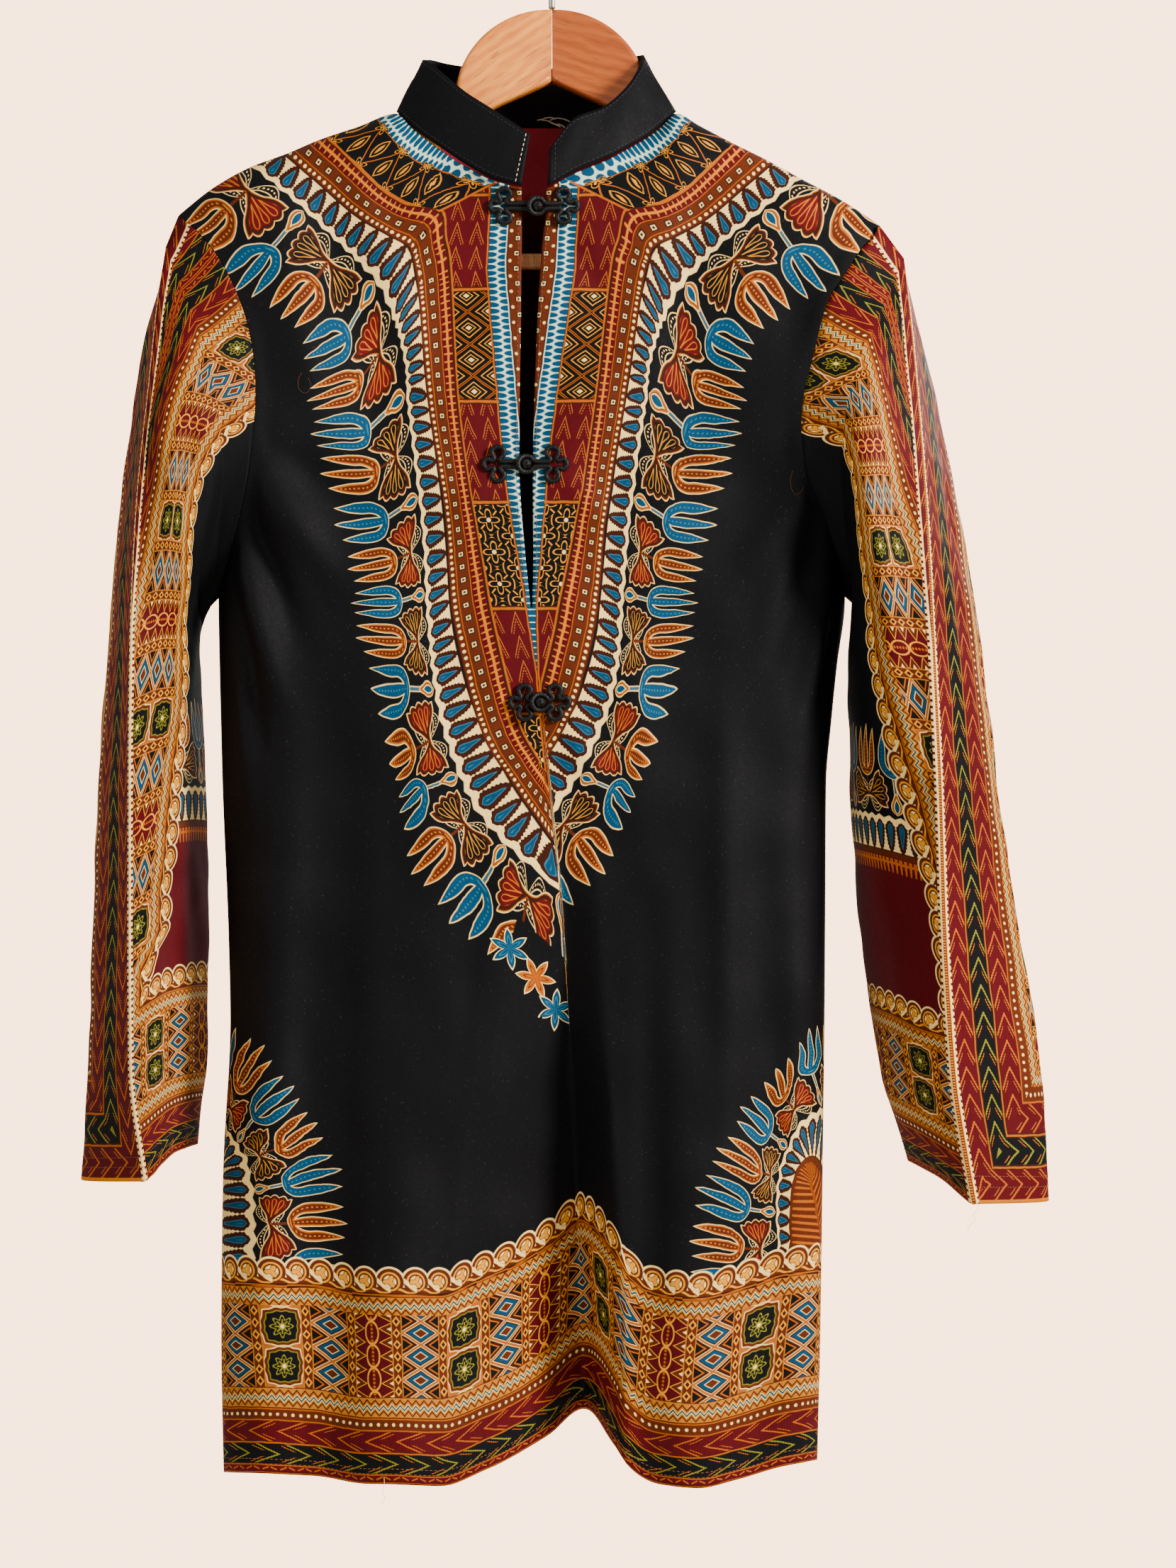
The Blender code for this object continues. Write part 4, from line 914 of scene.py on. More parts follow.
def newNode(tree, kind, items=(), **settings):
    node = tree.nodes.new(kind)
    for name, value in settings.items():
        setattr(node, name, value)
    fill(tree, node.inputs, items)
    return node


def parted(tree, kind, item):
    # the three numbers in a vector or a colour
    return [Ink(tree, output) for output in newNode(tree, kind, {0: item}).outputs]


def objectSpot(tree):
    return tree.nodes.new("ShaderNodeTexCoord").outputs["Object"]


class Print:
    # colours laid over each other, each through its mask
    def __init__(self, tree, ground):
        self.tree = tree
        self.colour = dyes[ground] if isinstance(ground, str) else ground

    def lay(self, colour, mask):
        colour = dyes[colour] if isinstance(colour, str) else colour
        self.colour = newNode(self.tree, "ShaderNodeMix", {0: mask, 6: self.colour, 7: colour},
                              data_type="RGBA").outputs[2]
        return self

    def nest(self, value, *rows, soft=0.22, on=None):
        # each colour where the value is below its edge
        for colour, edge in rows:
            mask = value.below(edge, soft)
            self.lay(colour, mask if on is None else mask * on)
        return self

    def bands(self, value, *rows, soft=0.22):
        # each colour where the value is between its two edges, or above its only one
        for colour, low, *high in rows:
            self.lay(colour, value.between(low, high[0], soft) if high else value.above(low, soft))
        return self


def printGroup(name, inputs, draw):
    tree, source, sink = newGroup(name, "ShaderNodeTree", [(item, "Float") for item in inputs],
                                  (("Colour", "Color"), ("Cover", "Float")))
    fill(tree, sink, enumerate(draw(tree, *[Ink(tree, source[item]) for item in inputs])))
    return tree


def newGroup(name, kind, inputs, outputs):
    # a node group with its sockets, and those of its first and last node
    tree = bpy.data.node_groups.new(name, kind)
    for way, items in (("INPUT", inputs), ("OUTPUT", outputs)):
        for item, sort in items:
            tree.interface.new_socket(item, in_out=way, socket_type="NodeSocket" + sort)
    return tree, tree.nodes.new("NodeGroupInput").outputs, tree.nodes.new("NodeGroupOutput").inputs


def useGroup(tree, name, *inks):
    node = newNode(tree, "ShaderNodeGroup", node_tree=groups[name])
    fill(tree, node.inputs, enumerate(inks))
    return node.outputs["Colour"], Ink(tree, node.outputs["Cover"])


def noiseInk(tree, scale, detail, stretch=(1, 1, 1), spot=None):
    spot = objectSpot(tree) if spot is None else spot
    spot = newNode(tree, "ShaderNodeMapping", {0: spot, "Scale": stretch}).outputs[0]
    node = newNode(tree, "ShaderNodeTexNoise", {"Vector": spot, "Scale": scale, "Detail": detail})
    return Ink(tree, node.outputs[0])


def shadeOf(tree, colour, shade):
    # a colour made lighter or darker over the surface
    grey = newNode(tree, "ShaderNodeCombineColor", {0: shade, 1: shade, 2: shade}).outputs[0]
    return newNode(tree, "ShaderNodeMix", {0: 1.0, 6: colour, 7: grey}, data_type="RGBA",
                   blend_type="MULTIPLY").outputs[2]


def squareRings(art, across, along, pitch):
    # small black squares with a cream line in each
    art.nest(abs(across).most(along.near(pitch)), ("black", 1.9), ("cream", 1.25), ("brown", 0.7))


def dab(along, across, width, reach):
    # a row of rounded dabs
    return (along.near(4.0) / width).long(across / reach).below(1.0, 0.08)


def chevrons(tree, along, across, pitch, slope, ground, colours):
    # feathered arrow strokes on a ground, one behind another
    art = Print(tree, ground)
    feather = along.near(1.7) * 0.9
    stroke = along + abs(across) * slope
    art.nest(stroke.near(pitch) + feather, (colours[0], 1.45))
    art.nest((stroke + pitch * 0.27).near(pitch) + feather, (colours[1], 0.95),
             on=abs(across).between(1.8, 5.0))
    return art.colour


def drawNeck(tree, along, share):
    # a comb by the collar, then golden leaves between zigzag lines on black
    art = Print(tree, "pale").lay("blue", dab(along, share, 1.65, 0.46))
    art.lay("blue", dab(along + 2.0, share - 1.0, 1.65, 0.46))
    across = (share - 1.0) * 30.0
    art.bands(across, ("brown", -1.2), ("orange", -0.7, 0.3), ("black", 0.9))
    art.nest(across.away(along.near(22.0) * 2.4 + 1.8), ("orange", 0.8))
    high = across + (30.0 - across * 2.0) * along.near(22.0).above(5.5, 0.05)
    side = along.near(11.0)
    fromMiddle = high - 19.0
    leaf = side + fromMiddle * fromMiddle * 0.032 - 2.7
    art.nest(leaf, ("gold", 0.0), ("black", -0.55), ("gold", -1.95))
    spray = side.long(high) - (high.turn(side).cosine(6.0) * 1.7 + 4.4)
    art.nest(spray, ("gold", 0.0), ("black", -0.6), ("gold", -2.9)).bands(across, ("orange", 28.9))
    return art.colour, share.above(0.0, 0.02)


def drawColumn(tree, across, down, rim):
    art = Print(tree, "deepRed")
    art.bands(across, ("gold", 3.9, 4.5), soft=0.15).bands(across, ("rust", 5.3))
    squareRings(art, across - 9.2, down, 9.6)
    art.nest((across - 13.3).long((down + 4.8).near(9.6)), ("cream", 0.95))
    art.bands(across, ("brown", 14.9), ("pale", 15.6))
    art.lay("blue", dab(down, across - 16.2, 1.7, 4.9) * across.above(16.2))
    art.lay("blue", dab(down + 2.0, across - 26.3, 1.7, 4.9))
    inPanel = across.above(26.8)
    art.lay("brown", inPanel)
    # the panels down the column: arrows, lattice or flowers, with the frame lines between them
    arrowsOn, latticeOn, bloomsOn = (1, 0, 0), (0, 1, 0), (0, 0, 1)
    starts = (176, 246, 309, 375.5, 441)
    stops = zip((100, *starts), (arrowsOn, latticeOn, arrowsOn, bloomsOn, arrowsOn, bloomsOn))
    marks = down.ramp(100, 500, list(stops))
    _, latticeOn, bloomsOn = parted(tree, "ShaderNodeSeparateColor", marks)
    x = across - 28.4
    # dotted arrows on red
    cellX, cellY = (x - 6.4).wrapped(12.6), (down - 4.0).wrapped(15.2)
    slope = cellY + 6.4 - abs(cellX) * 3.0
    arrows = abs(slope).below(0.85).most(slope.away(4.7).below(0.9) * cellY.near(1.7).below(0.5))
    panels = Print(tree, "deepRed").lay("tan", arrows * abs(cellX).below(4.3))
    # nested diamonds
    fromX, fromY = (x - 13.3).near(26.6), down.near(20.0)
    both = fromX / 13.3 + fromY / 10.0
    nested = both.math("PINGPONG", 1.0)
    lattice = Print(tree, "black").bands(nested, ("orange", 0.91), soft=0.02)
    lattice.bands(nested, ("brown", 0.96), soft=0.015)
    lattice.bands(nested, ("gold", 0.56, 0.63), ("gold", 0.29, 0.35), soft=0.02)
    lattice.nest(nested, ("cream", 0.15), soft=0.02)
    # four-petalled flowers, one set between the other
    swap = both.above(1.0, 0.01)
    petalX = fromX + (13.3 - fromX * 2.0) * swap
    petalY = fromY + (10.0 - fromY * 2.0) * swap
    reach = petalX.long(petalY)
    petals = abs(reach - (petalY.turn(petalX).cosine(4.0) * 2.1 + 4.5)).below(0.45)
    rays = petalX.away(petalY).below(0.55) * reach.between(4.4, 8.6)
    ring = reach.away(9.3).below(0.3) * petalX.away(petalY).above(1.6)
    blooms = Print(tree, "black").lay("gold", petals.most(rays, ring)).nest(reach, ("cream", 1.3))
    panels.lay(lattice.colour, latticeOn).lay(blooms.colour, bloomsOn)
    art.lay(panels.colour, across.above(28.4))
    frameLine = down.away(117).least(*[down.away(start) for start in starts])
    art.nest(frameLine, ("brown", 1.7), ("orange", 0.8), on=inPanel)
    art.bands(across, ("orange", 27.3, 28.2)).lay("orange", rim.above(-0.085, 0.015) * inPanel)
    art.lay("brown", rim.above(-0.035, 0.015) * inPanel)
    return art.colour, rim.below(0.0, 0.01)


def drawComb(tree, along, share):
    across = share * 20.0
    art = Print(tree, "deepRed").nest(across, ("brown", 0.6))
    spine = across.away(3.7)
    art.nest(spine, ("mustard", 0.7))
    art.nest(along.near(4.0) + spine * 0.1, ("mustard", 0.55), on=spine.below(2.9))
    art.bands(across, ("orange", 7.4, 7.9), ("rust", 8.0))
    squareRings(art, across - 11.5, along, 8.1)
    art.bands(across, ("orange", 15.0, 15.4))
    art.nest((across - 17.5).long(along.near(3.9)), ("cream", 0.95)).bands(across, ("brown", 19.4))
    return art.colour, share.between(0.0, 1.0, 0.012)


def drawDrops(tree, along, share):
    half = share.shaped(((0.0, -2.4), (0.10, -1.2), (0.20, -0.2), (0.42, 0.7), (0.60, 1.4),
                         (0.71, 1.4), (0.79, -0.1), (0.88, -2.6), (1.0, -8)), 10.0)
    edge = along.near(10.7) - half
    art = Print(tree, "cream").nest(edge + share.near(0.105) * 14.0, ("brown", 3.95))
    art.nest(edge, ("sky", 0.7), ("blue", 0.3), ("sky", -1.3), ("blue", -1.7))
    art.nest(share, ("brown", 0.035), soft=0.015)
    scallop = share + along.near(10.7) * 0.016
    return art.colour, scallop.below(1.03, 0.012) * share.above(0.0, 0.01)


def drawFlowers(tree, count, share):
    # fans in pairs round a waist, buds on stems, and flames of three tongues
    art = Print(tree, "black")
    up = share * 28.0
    isBlue = count.near(1.0).below(0.25, 0.002)
    isRed = count.math("WRAP", 2.0, 0.0).above(1.0, 0.002)
    x = (count * 63.0).wrapped(31.5)
    side = 31.5 - count.near(1.0) * 63.0
    level = up - 11.5
    # dotted leaves that hug the fans
    lower, upper = abs(level + side.sine(0.15) * 8.0), abs(level - side * 0.34 - 4.6)
    inward, outward = lower - side.sine(0.15) * 1.9, upper - side.sine(0.22) * 2.0
    leaf = inward.most(side - 20.5).least(outward.most(side - 13.6)).most(0.6 - side)
    art.nest(leaf, ("cream", 0.65), ("brown", 0.2), ("black", -0.2))
    art.nest(lower.least(upper).long(side.near(2.0)), ("cream", 0.42), on=leaf.below(-0.55))
    # fans
    fanX, fanY = side * 0.976 + level * 0.218, level * 0.976 - side * 0.218
    reach = fanX.long(fanY)
    petalTurn = fanY.turn(fanX).near(0.27) * reach
    width = fanX.shaped(((0, 0.6), (3, 1.5), (7, 3.6), (11, 7.0), (15, 9.6), (19, 10.8),
                         (28, 11.4)), 12.0)
    fan = (reach + petalTurn * petalTurn * 0.24 - 23.6).most(abs(fanY) - width)
    ground, glow = (Print(tree, first).lay(second, isRed).colour
                    for first, second in (("black", "red"), ("gold", "mustard")))
    art.nest(fan, ("cream", 1.0), ("orange", 0.5), ("brown", -0.1), (ground, -1.9))
    petal = petalTurn - reach.shaped(((0, -1.0), (5, 0.15), (9, 0.35), (14, 1.0), (18, 1.6),
                                      (20.0, 1.2), (21.4, -1.0), (28, -8)), 10.0)
    art.nest(petal, (glow, 0.0), (ground, -0.4), on=fan.below(-2.3))
    # stems and buds
    stemOn = up.between(12.5, 26.5)
    stem, body, heart, dots = (Print(tree, first).lay(second, isBlue).colour for first, second in (
        ("rust", "slate"), ("orange", "blue"), ("rust", "blue"), ("mustard", "sky")))
    art.nest(abs(x), ("cream", 1.5), on=stemOn * isBlue).nest(abs(x), (stem, 0.95), on=stemOn)
    bud = abs(x) - up.shaped(((0, -3), (1.2, 0.5), (4, 3.9), (7, 4.0), (10, 2.2), (13, 0.6),
                              (15, -1.5), (20, -6)), 8.0)
    art.nest(bud, ("cream", 0.9), ("orange", 0.3), ("brown", -0.9), ("cream", -1.4), ("blue", -2.1),
             on=isBlue)
    # flames
    risen = up - 25.5
    lean = risen.most(0.0)
    bent = x + lean * lean * 0.0032
    curl = bent.long((risen - 9.8).least(0.0)).away(9.8)
    outer = curl - risen.shaped(((-8, 0.4), (-3, 1.5), (3, 2.4), (9, 3.0), (15, 2.9), (21, 1.7),
                                 (26.5, 0.1), (30, -1.6), (36, -7)), 9.0)
    tongue = abs(bent) - risen.shaped(((-8, -7), (-2, -1.0), (1, 1.6), (6, 2.7), (13, 2.9), (21, 2.0),
                                       (28, 0.5), (31.5, -1.2), (36, -7)), 9.0)
    flame = outer.least(tongue).most(-2.6 - risen)
    art.nest(flame, ("cream", 0.6), (body, 0.1), (heart, -0.85))
    art.nest(curl.least(abs(bent)).long(risen.near(2.4)), (dots, 0.5), on=flame.below(-1.0))
    return art.colour, share.between(-0.02, 2.14, 0.01)


def zigzags(art, along, across):
    rise = along.near(5.4) * 1.15 - 1.5
    art.nest(abs(across), ("brown", 6.4), ("straw", 6.0))
    art.nest((across + 0.3).away(rise), ("cream", 1.3), ("teal", 0.75))
    art.nest((across - 3.2).away(rise), ("rust", 0.75)).nest((across + 3.6).away(rise), ("rust", 0.7))


def drawBorder(tree, along, up):
    # everything from the hem's edge to the line under the vine
    art = Print(tree, "deepRed").bands(up, ("orange", 0.5, 1.1), soft=0.15)
    art.nest((up - 2.3 - along.near(11.0) * 0.42).away(0.0), ("orange", 0.42),
             on=along.near(11.0).between(1.0, 4.8))
    dark = chevrons(tree, along, up - 12.4, 20.0, 2.5, "black", ("lime", "orange"))
    bright = chevrons(tree, along * -1.0, up - 26.2, 20.0, 2.5, "deepRed", ("orange", "orange"))
    art.bands(up, ("orange", 5.2, 5.9), ("brown", 5.9), (dark, 6.6), ("brown", 18.3),
              ("orange", 18.7, 19.5), (bright, 20.0), ("rust", 32.4), ("orange", 32.8, 33.5))
    art.nest((up - 36.8).long(along.near(4.9)), ("cream", 1.0)).bands(up, ("orange", 39.9, 40.6))
    zigzags(art, along, up - 47.4)
    place = along.wrapped(123.0)
    x = along.wrapped(30.75)
    y = up - 80.0
    # blue diamonds between crossed bands
    both = abs(x) / 12.2 + y.near(15.0) / 7.5
    panels = Print(tree, "tan").bands(both.away(1.0), ("cream", 0.11), ("brown", 0.16), soft=0.02)
    panels.bands(both, ("orange", 1.42), ("black", 1.54), soft=0.02)
    panels.nest(both, ("blue", 0.72), ("cream", 0.42), ("rust", 0.36), soft=0.03)
    # flowers on rounded black squares
    cell = (y + 12.6).wrapped(25.2)
    radius = x.long(cell)
    angle = cell.turn(x)
    square = abs(x).most(abs(cell)) * 0.55 + radius * 0.45 + angle.cosine(12.0) * 0.25
    flowers = Print(tree, "tan").nest(square, ("cream", 12.6), ("rust", 12.0), ("lime", 10.2),
                                      ("black", 9.6))
    flowers.nest(radius.away(angle.cosine(8.0) * 1.3 + 5.6), ("lime", 0.5))
    flowers.nest(angle.near(0.7854) * radius, ("lime", 0.45), on=radius.between(2.2, 4.6))
    flowers.nest(radius, ("lime", 2.2), ("cream", 1.2))
    # a chain of ovals between spiky leaves
    oval = (x * 1.7).long(y.wrapped(14.6)) - 6.9
    spike = 12.4 - abs(x) - (y.near(8.6) * -1.9 + 7.4)
    ovals = Print(tree, "deepRed").nest(spike, ("gold", 0.7), ("rust", -0.3), ("cream", -4.6))
    ovals.nest(abs(oval), ("gold", 0.75))
    ovals.lay("orange", oval.below(-0.8) * abs(x).long(y.near(2.4)).below(0.8))
    panels.bands(place, (flowers.colour, 15.4, 46.1), (ovals.colour, -46.1, -15.4), soft=0.05)
    spot = (15.4 - abs(x)) / 2.6 + y.near(7.4) / 3.4
    strip = Print(tree, "rust").nest(spot, ("gold", 0.95), ("brown", 0.52), soft=0.08)
    strip.nest(abs(x), (panels.colour, 12.4)).bands(abs(x), ("straw", 12.1, 12.7))
    art.bands(up, (strip.colour, 54.0))
    top = Print(tree, art.colour)
    zigzags(top, along, up - 111.5)
    art.bands(up, (top.colour, 106.0), ("brown", 117.0), ("orange", 117.5, 118.4))
    return art.colour, up.below(119.0)


def drawVine(tree, along, up):
    x = along.wrapped(15.6)
    y = up - 127.0
    radius = x.long(y)
    turn = (x * 0.9 - y * 0.45).turn(y * 0.9 + x * 0.45)
    art = Print(tree, "cream").bands(radius, ("rust", 3.7, 8.0), ("gold", 4.8, 5.9))
    art.lay("cream", radius.between(3.9, 7.6) * (x * 0.8 + y).between(-7.0, -3.6) * x.below(0.0))
    art.nest(radius - (turn.cosine(3.0) * 1.3 + 2.7), ("brown", 0.6), ("gold", 0.0))
    tail = y + 5.8 - along.sine(0.4028) * 1.3
    beyond = radius.above(6.6)
    art.nest(y + 3.4, ("rust", 0.0), on=beyond).nest(abs(tail), ("gold", 0.7), on=beyond)
    art.nest(up, ("brown", 119.8)).bands(up, ("orange", 118.2, 119.0))
    return art.colour, (radius - 9.2).least(up - 129.6).below(0.0)


def drawEdging(tree, fromEdge, along, turned):
    # bands round a sleeve's pressed edge and cuff, for the side away from the body
    def strokes(away, ground, colours, along):
        return chevrons(tree, along, fromEdge - away, 17.0, 2.1, ground, colours)

    warm, cool = ("orange", "tan"), ("lime", "orange")
    art = Print(tree, strokes(7.6, "deepRed", warm, along * turned))
    art.bands(fromEdge, ("brown", 14.0), ("orange", 14.6, 15.4),
              (strokes(22.2, "black", cool, along), 16.2), ("brown", 28.2), ("orange", 28.8, 29.6),
              (strokes(36.8, "deepRed", warm, along * turned), 30.4), ("rust", 43.2),
              ("orange", 43.6, 44.3))
    art.nest((fromEdge - 47.4).long(along.near(4.9)), ("cream", 0.95))
    return art.colour, fromEdge.below(51.0)


groups = {
    "neck": printGroup("Neck band", ("Along", "Share"), drawNeck),
    "column": printGroup("Slit column", ("Across", "Down", "Rim"), drawColumn),
    "comb": printGroup("Comb band", ("Along", "Share"), drawComb),
    "drops": printGroup("Drop band", ("Along", "Share"), drawDrops),
    "flowers": printGroup("Flower band", ("Count", "Share"), drawFlowers),
    "border": printGroup("Hem border", ("Along", "Up"), drawBorder),
    "vine": printGroup("Vine edge", ("Along", "Up"), drawVine),
    "edging": printGroup("Sleeve edging", ("From edge", "Along", "Turned"), drawEdging),
}


def fabricGroup():
    # threads, slubs, lint and the faint unevenness of dyed cotton
    tree, source, sink = newGroup("Cotton weave", "ShaderNodeTree", (
        ("Colour", "Color"), ("Lint", "Float")),
        (("Colour", "Color"), ("Height", "Float"), ("Roughness", "Float")))
    warp = noiseInk(tree, 1500, 1, (1, 1, 0.25))
    weft = noiseInk(tree, 1500, 1, (0.25, 1, 1))
    tone = noiseInk(tree, 12, 3)
    fine = noiseInk(tree, 420, 2)
    specks = noiseInk(tree, 760, 0).above(0.795, 0.015)
    shade = (tone - 0.5) * 0.5 + (fine - 0.5) * 0.4 + 1.0
    art = Print(tree, shadeOf(tree, source["Colour"], shade))
    art.lay(dye(52, 50, 50), specks * Ink(tree, source["Lint"]))
    fill(tree, sink, {"Colour": art.colour, "Height": warp * 0.5 + weft * 0.5 + fine * 0.5,
                      "Roughness": 0.74 - fine * 0.16})
    return tree


groups["weave"] = fabricGroup()


def attribute(tree, name):
    node = newNode(tree, "ShaderNodeAttribute", attribute_name=name)
    return parted(tree, "ShaderNodeSeparateXYZ", node.outputs["Vector"])


def handDrawn(tree, strength):
    # a slow wander in mm, so that printed lines aren't ruled
    noise = newNode(tree, "ShaderNodeTexNoise", {"Vector": objectSpot(tree), "Scale": 110, "Detail": 1})
    parts = parted(tree, "ShaderNodeSeparateColor", noise.outputs["Color"])
    return [(part - 0.5) * strength for part in parts]


def clothMaterial(name, draw, lint):
    material, tree, shader = newMaterial(name)
    weave = newNode(tree, "ShaderNodeGroup", node_tree=groups["weave"])
    fill(tree, weave.inputs, {"Colour": draw(tree), "Lint": lint})
    colour, height, roughness = weave.outputs
    fill(tree, shader, {"Base Color": colour, "Roughness": roughness, "Specular IOR Level": 0.08,
                        "Normal": bumpOf(tree, height, 0.35, 0.0004)})
    return material


def newMaterial(name):
    material = bpy.data.materials.new(name)
    material.use_nodes = True
    return material, material.node_tree, material.node_tree.nodes["Principled BSDF"].inputs


def bumpOf(tree, height, strength, distance):
    return newNode(tree, "ShaderNodeBump", {"Height": height, "Strength": strength,
                                            "Distance": distance}).outputs[0]


def neckCloth(tree):
    shake = handDrawn(tree, 1.1)
    across, down, plain = attribute(tree, "columnPrint")
    along, share, _ = attribute(tree, "neckPrint")
    _, comb, _ = attribute(tree, "combPrint")
    column, _ = useGroup(tree, "column", across + shake[0], down + shake[1], comb)
    neck, _ = useGroup(tree, "neck", along + shake[0], share + shake[1] * 0.03)
    art = Print(tree, column)
    mitre = down - plain * 0.51 - 96.8
    art.nest(mitre, (neck, 0.0)).nest(abs(mitre), ("orange", 0.7), on=plain.above(22))
    return layComb(tree, art, shake, lambda cover, comb: cover.most(comb.above(0.4))).colour


def layComb(tree, art, shake, masked):
    run, comb, _ = attribute(tree, "combPrint")
    edge, cover = useGroup(tree, "comb", run + shake[0], comb + shake[1] * 0.04)
    return art.lay(edge, masked(cover, comb))


def flowerInks(tree, shake, count, flower, run, drop):
    # the flowers' and the drops' colours and covers
    return (*useGroup(tree, "flowers", count + shake[0] * 0.016, flower + shake[1] * 0.035),
            *useGroup(tree, "drops", run + shake[0], drop))


# leaves at the tip, in mm from the centre line and down, with their turn and two dyes
starLeaves = ((35.0, 588.0, 0.5, "blue", "sky"), (20.0, 606.0, 0.2, "orange", "rust"),
              (8.5, 626.0, 0.7, "blue", "sky"))


def flowerCloth(tree):
    shake = handDrawn(tree, 1.0)
    run, drop, _ = attribute(tree, "dropPrint")
    count, flower, _ = attribute(tree, "flowerPrint")
    _, down, across = attribute(tree, "columnPrint")
    flowers, flowerCover, drops, dropCover = flowerInks(tree, shake, count, flower, run, drop)
    art = Print(tree, "black")
    art.lay(flowers, flowerCover * (count.above(7.42, 0.02) * flower.above(0.8, 0.02)).below(0.5))
    layComb(tree, art.lay(drops, dropCover), shake, lambda cover, comb: cover.most(comb.below(0.5)))
    # six-pointed leaves where the two sides of the band meet
    for place, height, turned, colour, vein in starLeaves:
        x, y = across - place, down - height
        leaf = x.long(y) + (y.turn(x) + turned).near(1.0472) * 17.0 - 12.2
        body = Print(tree, colour).nest(leaf.away(-4.0), (vein, 0.7))
        art.nest(leaf, ("cream", 1.4), (body.colour, 0.2))
    return art.colour


def archArt(tree):
    shake = handDrawn(tree, 1.0)
    count, flower, _ = attribute(tree, "archFlowers")
    run, drop, _ = attribute(tree, "archDrops")
    flowers, flowerCover, drops, dropCover = flowerInks(tree, shake, count, flower, run, drop)
    art = Print(tree, "black").lay(flowers, flowerCover).nest(drop, ("rust", 0.5))
    ladder = abs(drop * 24.0 + 8.5)
    rungs = (run.near(4.2) + ladder * 0.12).below(1.1) * ladder.below(5.0)
    art.lay("orange", ladder.below(0.7).most(rungs) * drop.below(0.0))
    return art.lay(drops, dropCover)


def archCloth(tree):
    return archArt(tree).colour


def vineCloth(tree):
    art = archArt(tree)
    along, up, _ = attribute(tree, "borderPrint")
    return art.lay(*useGroup(tree, "vine", along, up)).colour


def borderCloth(tree):
    shake = handDrawn(tree, 0.9)
    along, up, _ = attribute(tree, "borderPrint")
    return useGroup(tree, "border", along + shake[0], up + shake[1])[0]


def sleeveFaceCloth(tree):
    # the side towards the body: black with a sprig, a row of drops, a comb, then plain red
    shake = handDrawn(tree, 0.9)
    up, across, border = attribute(tree, "sleevePrint")
    flowers, flowerCover = useGroup(tree, "flowers", across / 63.0 - 0.55, (up - 232.0) / 28.0)
    drops, dropCover = useGroup(tree, "drops", across, (up - 209.0) / 22.0)
    art = Print(tree, "black")
    art.lay(flowers, flowerCover * up.above(231.0)).lay(drops, dropCover * up.above(208.0))
    art.nest(up, ("rust", 209.0), ("deepRed", 205.5))
    teeth = (across.near(4.4) - (up - 195.0) * 0.10).below(0.5) * up.between(196.0, 205.0)
    art.lay("orange", teeth.most(up.between(201.5, 203.0)))
    fromCuff = up * 1.15
    along = up + (across - up) * fromCuff.below(border, 0.1)
    rise = fromCuff.least(abs(border))
    art.lay(*useGroup(tree, "vine", along, rise))
    art.lay(*useGroup(tree, "border", along + shake[0], rise + shake[1]))
    inside = across - up.above(430.0, 90.0) * 9.0
    art.nest(inside, (useGroup(tree, "edging", inside * -1.0, along, 1.0)[0], 0.0))
    art.bands(inside, ("cream", 0.0, 2.9))
    return art.lay("deepRed", inside.between(1.3, 3.2) * up.near(4.0).below(0.9)).colour


def sleeveOuterCloth(turned, striped):
    def draw(tree):
        shake = handDrawn(tree, 0.8)
        up, strip, _ = attribute(tree, "sleevePrint")
        across = strip - striped
        cuff = up * 1.05 - 1.5
        edge = across.least(cuff)
        along = up + (across - up) * cuff.below(across, 0.1)
        art = Print(tree, "black").lay(*useGroup(tree, "vine", along, edge - 32.0))
        art.lay(*useGroup(tree, "border", along, edge - 32.0))
        art.lay(*useGroup(tree, "edging", edge * 0.68 + shake[0], along + shake[1], turned))
        art.nest(up, ("mustard", 2.4))
        if striped:
            art.nest(strip, ("mustard", 3.8)).nest(strip, ("rust", 3.0), on=up.near(1.7).below(0.45))
            art.nest(strip.away(2.9), ("rust", 0.35))
        art.nest(strip.away(striped + 1.2), ("cream", 1.5))
        return art.nest(strip.away(striped + 2.1), ("deepRed", 0.9), on=up.near(4.0).below(0.9)).colour
    return draw


def backInsideCloth(tree):
    # the wrong side of the back: crimson under the neck, darker further down
    height = parted(tree, "ShaderNodeSeparateXYZ", objectSpot(tree))[2]
    return Print(tree, dye(60, 10, 14)).lay(dye(160, 44, 60), height.above(-0.176, 0.006)).colour


clothMaterials = {key: clothMaterial(*rest) for key, *rest in (
    ("neck", "Printed cotton, neck and slit", neckCloth, 0.15),
    ("flowers", "Printed cotton, flower bands", flowerCloth, 0.3),
    ("arch", "Printed cotton, side arches", archCloth, 0.3),
    ("vine", "Printed cotton, vine edge", vineCloth, 0.3),
    ("border", "Printed cotton, hem border", borderCloth, 0.1),
    ("black", "Black cotton", lambda tree: dyes["black"], 0.3),
    ("sleeveFace", "Printed cotton, sleeve face", sleeveFaceCloth, 0.15),
    ("sleeveOuterLeft", "Printed cotton, left sleeve edging", sleeveOuterCloth(-1.0, 0.0), 0.1),
    ("sleeveOuterRight", "Printed cotton, right sleeve edging", sleeveOuterCloth(1.0, 4.2), 0.1),
    ("collar", "Black cotton, collar", lambda tree: dyes["black"], 0.3),
    ("backInside", "Crimson inner face", backInsideCloth, 0.2))}
print("cloth materials:", len(clothMaterials))


